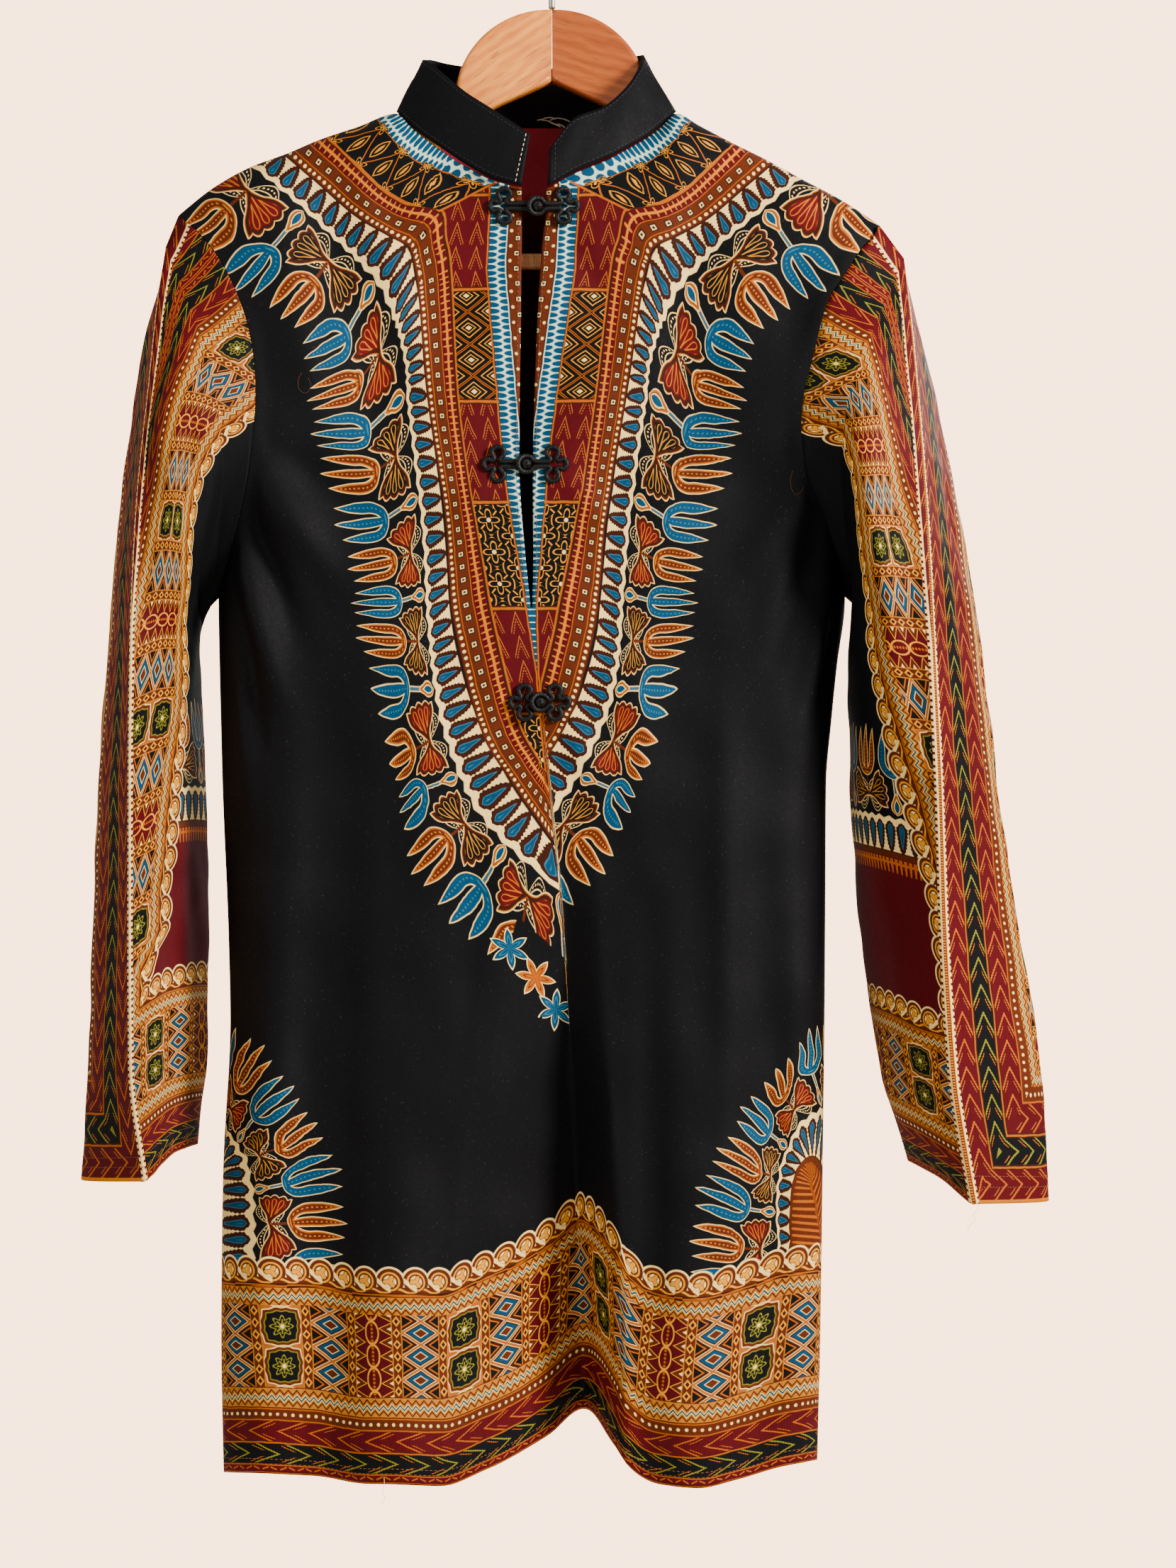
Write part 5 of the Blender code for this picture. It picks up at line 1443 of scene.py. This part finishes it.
def throughPoints(points, step, closed=False):
    # a smooth line through the points, at an even step
    points = np.array(points, float)
    fine = [curved(*fourRound(points, i, closed), t) for i in range(len(points) - (not closed))
            for t in np.linspace(0, 1, 12, endpoint=False)]
    fine = np.array(fine + [points[0 if closed else -1]])
    length = runLength(*fine.T)
    at = np.linspace(0, length[-1], max(int(round(length[-1] / step)), 4) + 1)
    line = np.stack([np.interp(at, length, fine[:, k]) for k in range(3)], -1)
    return line[:-1] if closed else line, length[-1]


def ringFaces(count, around, closed):
    return [(j * around + i, j * around + (i + 1) % around,
             (j + 1) % count * around + (i + 1) % around, (j + 1) % count * around + i)
            for j in range(count if closed else count - 1) for i in range(around)]


def tube(name, line, radius, around, material, closed=False, facing=(0, -1, 0), thickness=None):
    # rings along a line; thickness(ring, turn) scales the radius, as the strands of a cord do
    count = len(line)
    ahead = np.roll(line, -1, axis=0) - np.roll(line, 1, axis=0)
    if not closed:
        ahead[0], ahead[-1] = line[1] - line[0], line[-1] - line[-2]
    ahead = unit(ahead)
    across = unit(np.cross(ahead, np.array(facing, float)))
    out = np.cross(across, ahead)
    turns = np.linspace(0, 2 * np.pi, around, endpoint=False)
    rings, at = np.meshgrid(np.arange(count), turns, indexing="ij")
    reach = radius * (thickness(rings, at) if thickness else np.ones(at.shape))
    points = (line[:, None] + across[:, None] * (np.cos(at) * reach)[..., None]
              + out[:, None] * (np.sin(at) * reach)[..., None]).reshape(-1, 3)
    faces = ringFaces(count, around, closed)
    if not closed:
        # domed ends
        points = np.concatenate([points, line[:1] - ahead[:1] * radius * 0.6,
                                 line[-1:] + ahead[-1:] * radius * 0.6])
        last = (count - 1) * around
        for i in range(around):
            faces.append((len(points) - 2, (i + 1) % around, i))
            faces.append((len(points) - 1, last + i, last + (i + 1) % around))
    mesh = bpy.data.meshes.new(name)
    mesh.from_pydata(points.tolist(), [], faces)
    shape = bmesh.new()
    shape.from_mesh(mesh)
    return finished(name, shape, material, mesh)


def finished(name, shape, material, mesh=None):
    # the shape as an object with its faces outward and smooth
    mesh = mesh or bpy.data.meshes.new(name)
    bmesh.ops.recalc_face_normals(shape, faces=shape.faces)
    shape.to_mesh(mesh)
    shape.free()
    mesh.shade_smooth()
    mesh.materials.append(material)
    return link(name, mesh)


# the outline of one half along its arm, and how it is made
hanger = {"humpRadius": 0.0630, "humpTop": -0.0630, "lean": 0.15, "thick": 0.012, "seat": 0.0024,
          "neck": metres(0, (615, -1130), (655, -1260), (730, -1370)),
          "shoulder": (0.0920, 0.0990, 0.1107, 0.1240, 0.1362, 0.1465, 0.1568, 0.1680, 0.1793, 0.1850),
          "end": metres(0, (1915, -2110), (1925, -2240), (1895, -2345), (1835, -2380), (1770, -2350),
                        (1765, -2190)),
          "under": metres(0, (1640, -2085), (1400, -1965), (1100, -1800), (850, -1645), (600, -1430),
                          (386, -1274), (180, -1172), (3, -1085)),
          "round": 0.0026, "roundSteps": 4, "joint": 0.00015, "pointStep": 0.0028,
          "flatFace": 0.0006}


def armOutline():
    outline = [(hanger["joint"], hanger["humpTop"])]
    for degrees in range(3, 70, 3):
        turn = math.radians(degrees)
        outline.append((hanger["humpRadius"] * math.sin(turn),
                        hanger["humpTop"] - hanger["humpRadius"] * (1 - math.cos(turn))))
    stretch = math.sqrt(1 + hanger["lean"] ** 2)
    rest = [outline[-1], *hanger["neck"]]
    for x in hanger["shoulder"]:
        spot = place(x, read(topEdge, "y", x), read(topEdge, "z", x))
        rest.append((float(spot[0]) * stretch, float(spot[2]) - hanger["seat"]))
    rest += [*hanger["end"], *hanger["under"]]
    smooth, _ = throughPoints([(*spot, 0.0) for spot in rest], hanger["pointStep"])
    return outline + [(float(u), float(z)) for u, z, _ in smooth[1:]]


def buildHalf(name, side):
    # the outline as a board with rounded edges, turned forward
    shape = bmesh.new()
    ring = [shape.verts.new((u, -hanger["thick"] / 2, z)) for u, z in armOutline()]
    grown = bmesh.ops.extrude_face_region(shape, geom=[shape.faces.new(ring)])
    moved = [item for item in grown["geom"] if isinstance(item, bmesh.types.BMVert)]
    bmesh.ops.translate(shape, vec=(0, hanger["thick"], 0), verts=moved)
    longEdges = [edge for edge in shape.edges
                 if abs(edge.verts[0].co.y - edge.verts[1].co.y) < 1e-6
                 and max(edge.verts[0].co.x, edge.verts[1].co.x) > 0.001]
    bmesh.ops.bevel(shape, geom=longEdges, offset=hanger["round"], segments=hanger["roundSteps"],
                    profile=0.5, affect="EDGES", clamp_overlap=True)
    lean = math.atan(hanger["lean"])
    for vert in shape.verts:
        u, y, z = vert.co
        x = u * math.cos(lean) + (y * math.sin(lean) if u > 0.004 else 0.0)
        vert.co = (side * max(x, hanger["joint"]), y * math.cos(lean) - u * math.sin(lean), z)
    bmesh.ops.remove_doubles(shape, verts=shape.verts, dist=0.00002)
    bmesh.ops.recalc_face_normals(shape, faces=shape.faces)
    if shape.calc_volume(signed=True) < 0:
        bmesh.ops.reverse_faces(shape, faces=shape.faces)
    mesh = bpy.data.meshes.new(name)
    shape.to_mesh(mesh)
    shape.free()
    for face in mesh.polygons:
        face.use_smooth = face.area < hanger["flatFace"]
    mesh.materials.append(woodMaterials[sides[side]])
    return link(name, mesh)


bar = {"radius": 0.005, "depth": -0.0272, "height": -0.2280, "end": 0.1739, "around": 32}


def buildBar():
    line = np.array([(x, bar["depth"], bar["height"])
                     for x in np.linspace(-bar["end"] + 0.002, bar["end"] - 0.002, 40)])
    return tube("hanger_cross_bar", line, bar["radius"], bar["around"], woodMaterials["bar"])


hook = {"wire": 0.0021, "radius": 0.0240, "around": 20, "start": 0.0003}


def buildHook():
    # a straight shank out of the wood, then round to an open end
    reach = hook["radius"] + hook["wire"]
    centre = hook["wire"] - reach
    top = centre - reach * 0.9
    path = [(0.0, 0.0, hanger["humpTop"] + hook["start"] + (top - 0.004 - hanger["humpTop"]) * i / 5)
            for i in range(5)]
    for i in range(5):
        share = i / 4
        path.append((reach * 0.80 * share ** 1.6, 0.0, top - 0.002 + 0.010 * share
                     + 0.001 * math.sin(math.radians(-62 * share))))
    for i in range(1, 22):
        turn = math.radians(-32 + 232 * i / 21)
        path.append((reach * math.cos(turn), 0.0, centre + reach * math.sin(turn)))
    line, _ = throughPoints(path, 0.0016)
    return tube("hook_wire", line[1:-1], hook["wire"], hook["around"], steelMaterial)


def clothDepth(x, z):
    # depth of the front at a measured place, with the slit bridged
    x, z = np.array([x], float), np.array([z], float)
    depth = panel["frontDepth"] + foldDepth(frontFolds, x, z)
    return float(overShoulder(read(topEdge, "y", x), depth, read(topEdge, "z", x) - z)[0])


frogs = {"rows": ((-0.1937, -0.0190, 0.0190, 0.0020), (-0.3550, -0.0180, 0.0170, 0.0),
                  (-0.5040, -0.0100, 0.0100, 0.0)),
         "cord": 0.0015, "ball": 0.0031, "lift": 0.00255, "strands": 3, "lay": 0.0062, "groove": 0.24}
# the cord's way round a clover, in mm away from the slit and up
clover = ((9.0, 1.5), (3.4, 1.6), (1.9, 3.2), (4.4, 6.6), (3.2, 9.8), (-0.4, 10.6), (-3.2, 8.6),
          (-3.0, 5.6), (-1.9, 3.4), (-3.6, 2.2), (-6.6, 3.2), (-8.6, 0.0), (-6.6, -3.2),
          (-3.6, -2.2), (-1.9, -3.4), (-3.0, -5.6), (-3.2, -8.6), (-0.4, -10.6), (3.2, -9.8),
          (4.4, -6.6), (1.9, -3.2), (3.4, -1.6), (9.0, -1.5))
buttonLoop = metres(0, (-26, -44, 0), (14, -48, 8), (40, -30, 24), (50, 0, 30), (40, 30, 24),
                    (14, 48, 8), (-26, 44, 0))


def buildFrog(number, row):
    # clovers of twisted cord on both sides, a ball knot on the left one, a loop on the right one
    z0, left, right, ballAt = row
    middle = float(read(body, "centre", z0))
    ballX = middle + ballAt
    items = []
    for side in (-1, 1):
        start = middle + (left if side < 0 else right)
        gap = abs(ballX - start)
        away, wide = (0.0043, 0.0015) if side < 0 else (0.0055, 0.0018)
        shape = [(gap - away, wide, 0.0), *((u / 1000, w / 1000, 0.0) for u, w in clover[1:-1]),
                 (gap - away, -wide, 0.0)]
        if side > 0:
            shape += [(gap + u, w, raised) for u, w, raised in buttonLoop]
        path = []
        for u, w, raised in shape:
            x, z = start - side * u, z0 + w
            depth = min(clothDepth(x, z), clothDepth(start, z0) + 0.001)
            path.append(place(x, depth - frogs["lift"] - raised, z))
        line, length = throughPoints(path, 0.00055, closed=True)
        windings = round(length / frogs["lay"]) / len(line)

        def strands(ring, turn):
            wave = np.abs(np.cos(0.5 * frogs["strands"] * (turn - 2 * np.pi * windings * ring)))
            return 1 + frogs["groove"] * (wave - 0.62)

        item = tube("frog_%d_cord_%s" % (number, sides[side]), line, frogs["cord"] * 1.04, 12,
                    cordMaterial, closed=True, thickness=strands)
        items.append((item, "frog_%d_%s" % (number, sides[side])))
    centre = place(ballX, clothDepth(ballX, z0) - frogs["lift"] - 0.001, z0)
    return items + [(buildBall(number, centre), "frog_%d_knot" % number)]


# a ball knot's turns: their axis, and how far they lie from its middle
ballTurns = (((0.2, 1, 0.3), 0.0), ((1, 0.25, 0.1), 0.35), ((1, -0.2, 0.3), -0.35),
             ((0.1, 0.3, 1), 0.38), ((-0.2, 0.3, 1), -0.38), ((0.7, 0.5, 0.7), 0.0),
             ((-0.7, 0.5, 0.6), 0.0))


def buildBall(number, centre):
    cord, count, around = 0.00075, 30, 8
    shape = bmesh.new()
    bmesh.ops.create_uvsphere(shape, u_segments=20, v_segments=12, radius=frogs["ball"] * 0.86)
    turns, bends = (np.linspace(0, 2 * np.pi, n, endpoint=False) for n in (count, around))
    for axis, offset in ballTurns:
        axis = Vector(axis).normalized()
        first = axis.orthogonal().normalized()
        second = axis.cross(first)
        rise = offset * frogs["ball"]
        reach = math.sqrt(frogs["ball"] ** 2 - rise ** 2) * 0.86
        verts = []
        for turn in turns:
            out = first * math.cos(turn) + second * math.sin(turn)
            verts += [shape.verts.new(axis * (rise + cord * math.sin(bend))
                                      + out * (reach + cord * math.cos(bend))) for bend in bends]
        for corners in ringFaces(count, around, True):
            shape.faces.new([verts[k] for k in corners])
    for vert in shape.verts:
        vert.co += Vector(centre)
    return finished("frog_%d_ball" % number, shape, cordMaterial)


def woodMaterial(name, pale, dark, turn, figure):
    # varnished beech: long grain, fine pores, and a cloudy figure across it
    material, tree, shader = newMaterial(name)
    spot = newNode(tree, "ShaderNodeMapping",
                   {0: objectSpot(tree), "Rotation": (0, turn, 0)}).outputs[0]
    grain = noiseInk(tree, 60, 4, (0.35, 2.0, 6.0), spot)
    pores = noiseInk(tree, 420, 2, (0.10, 1.0, 3.0), spot)
    cloud = noiseInk(tree, 26, 3, (1.0, 1.0, 1.6), spot)
    wave = newNode(tree, "ShaderNodeTexWave", {
        "Vector": spot, "Scale": 46, "Distortion": 5.5, "Detail": 2, "Detail Scale": 0.8},
        bands_direction="Z")
    rings = Ink(tree, wave.outputs["Fac"])
    tone = (grain - 0.5) * 0.9 + (rings - 0.5) * 0.42 + (cloud - 0.5) * figure + 0.42
    art = Print(tree, pale).lay(dark, tone.ranged(0.0, 1.0, 0.0, 1.0))
    art.lay(dye(92, 40, 12), pores.above(0.64, 0.05) * 0.55)
    fill(tree, shader, {"Base Color": art.colour, "Roughness": cloud * 0.18 + 0.26,
                        "Coat Weight": 0.25, "Coat Roughness": 0.18,
                        "Normal": bumpOf(tree, grain * 0.5 + pores, 0.12, 0.0003)})
    return material


def steelFinish():
    # bright drawn wire with faint lengthwise lines
    material, tree, shader = newMaterial("Steel wire")
    lines = noiseInk(tree, 900, 2, (1.0, 1.0, 0.05))
    dull = noiseInk(tree, 120, 3)
    art = Print(tree, dye(188, 186, 180)).lay(dye(126, 122, 116), dull.above(0.5, 0.2) * 0.5)
    fill(tree, shader, {"Base Color": art.colour, "Roughness": dull * 0.25 + lines * 0.1 + 0.12,
                        "Metallic": 1.0})
    return material


def cordFinish(name, colour, shine, gloss=0.5):
    # silky cord: fine fibres that run with the twist
    material, tree, shader = newMaterial(name)
    fibre = noiseInk(tree, 2600, 2)
    tone = noiseInk(tree, 240, 2)
    shade = (fibre - 0.5) * 0.7 + (tone - 0.5) * 0.5 + 1.0
    fill(tree, shader, {"Base Color": shadeOf(tree, colour, shade), "Roughness": fibre * 0.2 + shine,
                        "Specular IOR Level": gloss, "Normal": bumpOf(tree, fibre, 0.4, 0.0001)})
    return material


woodMaterials = {
    "left": woodMaterial("Beech, left half", dye(240, 150, 52), dye(194, 94, 20), 0.62, 0.8),
    # the right half's darker dyes are painted shade: both halves are the same beech, but the right half
    # takes darker dyes
    "right": woodMaterial("Beech, right half, painted shade", dye(184, 92, 28), dye(138, 56, 12), -0.30, 0.6),
    "bar": woodMaterial("Beech bar", dye(230, 150, 78), dye(188, 104, 44), 1.57, 0.3),
}
steelMaterial = steelFinish()
cordMaterial = cordFinish("Black silky cord", dye(6, 6, 7), 0.45, 0.22)
threadMaterials = {"black": cordFinish("Black thread", dye(20, 19, 22), 0.5),
                   "cream": cordFinish("Cream thread", dye(220, 205, 170), 0.6),
                   "brown": cordFinish("Brown thread", dye(120, 70, 30), 0.6)}


# stitches: one tree lays them along any line
stitches = {"Pitch": 0.0030, "Length": 0.0022, "Thread": 0.00024, "Jitter": 0.12, "Seed": 7}


def stitchTree():
    tree, source, sink = newGroup("Run of stitches", "GeometryNodeTree", (
        ("Line", "Geometry"), ("Pitch", "Float"), ("Length", "Float"), ("Thread", "Float"),
        ("Jitter", "Float"), ("Seed", "Int"), ("Finish", "Material")), (("Stitches", "Geometry"),))

    def made(kind, items=(), output=0, **settings):
        return newNode(tree, kind, items, **settings).outputs[output]

    curve = made("GeometryNodeMeshToCurve", {0: source["Line"]})
    even = made("GeometryNodeResampleCurve", {"Curve": curve, "Length": source["Pitch"]}, mode="LENGTH")
    bead = made("GeometryNodeMeshUVSphere", {"Segments": 6, "Rings": 5, "Radius": 1.0})
    half = made("ShaderNodeMath", {0: source["Length"], 1: 0.5}, operation="MULTIPLY")
    size = made("ShaderNodeCombineXYZ", {0: source["Thread"], 1: source["Thread"], 2: half})
    shaped = made("GeometryNodeTransform", {"Geometry": bead, "Scale": size})
    turned = made("FunctionNodeAlignRotationToVector", {"Vector": made("GeometryNodeInputTangent")},
                  axis="Z")
    least = made("ShaderNodeMath", {0: 1.0, 1: source["Jitter"]}, operation="SUBTRACT")
    uneven = made("FunctionNodeRandomValue", {2: least, 3: 1.0, "Seed": source["Seed"]}, 1,
                  data_type="FLOAT")
    laid = made("GeometryNodeInstanceOnPoints", {"Points": even, "Instance": shaped,
                                                 "Rotation": turned, "Scale": uneven})
    real = made("GeometryNodeRealizeInstances", {0: laid})
    finish = made("GeometryNodeSetMaterial", {"Geometry": real, "Material": source["Finish"]})
    tree.links.new(finish, sink[0])
    return tree


runTree = stitchTree()


def sew(name, lines, finish, **changes):
    # lines of points on the cloth, each sewn with the same stitch
    points, edges = [], []
    for line in lines:
        first = len(points)
        points += [tuple(map(float, spot)) for spot in line]
        edges += [(first + i, first + i + 1) for i in range(len(line) - 1)]
    mesh = bpy.data.meshes.new(name)
    mesh.from_pydata(points, edges, [])
    guide = link(name + "_line", mesh)
    run = guide.modifiers.new("Stitches", "NODES")
    run.node_group = runTree
    values = dict(stitches, Finish=finish, **changes)
    for socket in runTree.interface.items_tree:
        if socket.in_out == "INPUT" and socket.name in values:
            run[socket.identifier] = values[socket.name]
    ready = guide.evaluated_get(bpy.context.evaluated_depsgraph_get())
    made = bpy.data.meshes.new_from_object(ready)
    guide.modifiers.remove(run)
    bpy.data.objects.remove(guide)
    made.name = name
    made.shade_smooth()
    return link(name, made)


def looseThread(name, points, radius, finish):
    line, _ = throughPoints(points, 0.0012)
    return tube(name, line, radius, 6, finish, facing=(0.13, -1, 0.21))


front = buildFront()
back = buildBack()
sleeves = {side: buildSleeve("sleeve_sheet_" + sides[side], table, side)
           for side, table in ((-1, sleeveLeft), (1, sleeveRight))}
collarBand = buildCollar()
print("cloth made")

halves = {side: buildHalf("hanger_half_" + sides[side], side) for side in (-1, 1)}
crossBar = buildBar()
hookWire = buildHook()
closures = [pair for number, row in enumerate(frogs["rows"], 1) for pair in buildFrog(number, row)]
print("hanger and frogs made")

sewn = {}
for cloth, name, dyed in ((front, "front", "brown"), (back, "back", "black"),
                          (sleeves[-1], "cuff_left", "brown"), (sleeves[1], "cuff_right", "brown"),
                          (collarBand, "collar", "black")):
    sewn[cloth] = [sew("stitches_" + name, seams[name], threadMaterials[dyed])]
sewn[collarBand].append(sew("stitches_collar_end", seams["collar_end"], threadMaterials["cream"],
                            Thread=0.0003))
frontSurface = BVHTree.FromPolygons([vert.co for vert in front.data.vertices],
                                    [tuple(face.vertices) for face in front.data.polygons])


def onFront(x, z, lift=0.0009):
    # the place on the front's cloth that the viewer sees at a measured (x, z)
    eye = Vector((view["x"], -view["distance"], view["z"]))
    aim = (Vector(place(x, view["tableDepth"], z)) - eye).normalized()
    return frontSurface.ray_cast(eye, aim)[0] - aim * lift


hairs = (metres(0, (1508, -3590), (1496, -3650), (1502, -3705), (1530, -3742), (1562, -3722),
                (1580, -3690)),
         metres(0, (-1560, -2980), (-1582, -3030), (-1570, -3090), (-1528, -3105), (-1502, -3060),
                (-1520, -3010)))
for number, hair in enumerate(hairs, 1):
    sewn[front].append(looseThread("lint_hair_%d" % number, [onFront(x, z) for x, z in hair], 0.00006,
                                   threadMaterials["brown"]))
# each loose thread's cloth and name, its half thickness, its start and the offsets of the points
hemStart, cuffStart = onFront(-0.1046, -0.9880), Vector(place(0.2655, -0.0690, -0.8160))
for cloth, name, radius, start, offsets in (
        (front, "thread_hem", 0.00014, hemStart,
         metres(0, (4, -12, -35), (-6, -16, -85), (6, -14, -130), (-16, -10, -165))),
        (sleeves[1], "thread_cuff", 0.00013, cuffStart,
         metres(0, (12, -4, -40), (-16, 0, -75), (-4, 6, -110), (-42, 2, -150), (-50, 0, -185)))):
    path = [start] + [start + Vector(offset) for offset in offsets]
    sewn[cloth].append(looseThread(name, path, radius, threadMaterials["cream"]))
pick = random.Random(3)
for number in range(4):
    path = [Vector(place(-0.0085 + 0.0026 * number, 0.0316, -0.1402))]
    for step in range(4):
        path.append(path[-1] + Vector((0.0026 + 0.0012 * pick.random(), -0.0006 * pick.random(),
                                       (0.0016 - 0.0032 * pick.random()) - 0.0004 * step)))
    sewn[collarBand].append(looseThread("thread_neck_%d" % (number + 1), path, 0.00042,
                                        threadMaterials["cream"]))
print("stitches and threads made")

for item, node, slot in ((front, "front", "printed_cotton"), (back, "back", "black_cotton"),
                         (sleeves[-1], "sleeve_left", "printed_cotton"),
                         (sleeves[1], "sleeve_right", "printed_cotton"),
                         (collarBand, "collar", "black_cotton"),
                         (halves[-1], "hanger_left", "beech"), (halves[1], "hanger_right", "beech"),
                         (crossBar, "hanger_bar", "beech"), (hookWire, "hanger_hook", "steel_wire"),
                         *((item, node, "black_cord") for item, node in closures)):
    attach(item, "root")
    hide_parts(node)
for cloth, threads in sewn.items():
    for item in threads:
        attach(item, "root")
        "printed_cotton" if cloth in (front, *sleeves.values()) else "black_cotton"

# the cut of each piece as it shows, in metres; a sleeve's is its whole width round the arm
cuts = {front: ((0.50, 0.87), 0.375), back: ((0.48, 0.86), 0.360), sleeves[-1]: ((0.30, 0.60), 0.150),
        sleeves[1]: ((0.32, 0.62), 0.160), collarBand: ((0.42, 0.045), 0.0165)}
for cloth, (flat, area) in cuts.items():
    rests = [halves[-1], halves[1]] if cloth in (front, back) else [front, back]

stage = {"glow": dye(255, 247, 236), "glowStrength": 0.55, "backdrop": (1.0, 0.64, 0.40, 1.0),
         "backdropStrength": 6.1, "floorRadius": 0.7, "floorHeight": -1.30}
lights = (("key", (1.50, -1.15, 0.20), -0.55, 0.6, 100.0, (1.0, 0.95, 0.88)),
          ("fill", (-1.5, -1.2, 0.1), -0.6, 1.2, 16.0, (1.0, 0.95, 0.9)),
          ("behind", (0.9, 1.7, 0.3), -0.6, 1.0, 30.0, (0.97, 0.98, 1.0)))


def buildStage():
    shape = bmesh.new()
    bmesh.ops.create_circle(shape, cap_ends=True, segments=64, radius=stage["floorRadius"])
    mesh = bpy.data.meshes.new("floor")
    shape.to_mesh(mesh)
    shape.free()
    for vert in mesh.vertices:
        vert.co.z = stage["floorHeight"]
    floor = link("floor", mesh)
    material, _, shader = newMaterial("Pale floor")
    shader["Base Color"].default_value = dye(232, 226, 216)
    mesh.materials.append(material)
    world = bpy.data.worlds.new("Pale studio")
    world.use_nodes = True
    tree = world.node_tree
    light = tree.nodes["Background"]
    fill(tree, light.inputs, {"Color": stage["glow"], "Strength": stage["glowStrength"]})
    seen = newNode(tree, "ShaderNodeBackground", {"Color": stage["backdrop"],
                                                  "Strength": stage["backdropStrength"]})
    byCamera = tree.nodes.new("ShaderNodeLightPath").outputs["Is Camera Ray"]
    mix = newNode(tree, "ShaderNodeMixShader", {0: byCamera, 1: light.outputs[0], 2: seen.outputs[0]})
    tree.links.new(mix.outputs[0], tree.nodes["World Output"].inputs[0])
    bpy.context.scene.world = world


def softLight(name, spot, aimHeight, size, power, colour):
    data = bpy.data.lights.new(name, "AREA")
    data.shape, data.size, data.energy, data.color = "DISK", size, power, colour
    lamp = link(name, data)
    lamp.location = spot
    lamp.rotation_euler = (Vector((0, 0, aimHeight)) - Vector(spot)).to_track_quat("-Z", "Y").to_euler()


def buildCamera():
    data = bpy.data.cameras.new("camera")
    data.sensor_fit, data.sensor_height = "VERTICAL", view["sensor"]
    data.lens = view["sensor"] * (view["distance"] + view["tableDepth"]) / view["frameHeight"]
    camera = link("camera", data)
    camera.location = (view["x"], -view["distance"], view["z"])
    camera.rotation_euler = (math.pi / 2, 0, 0)
    bpy.context.scene.camera = camera


buildStage()
for light in lights:
    softLight(*light)
buildCamera()
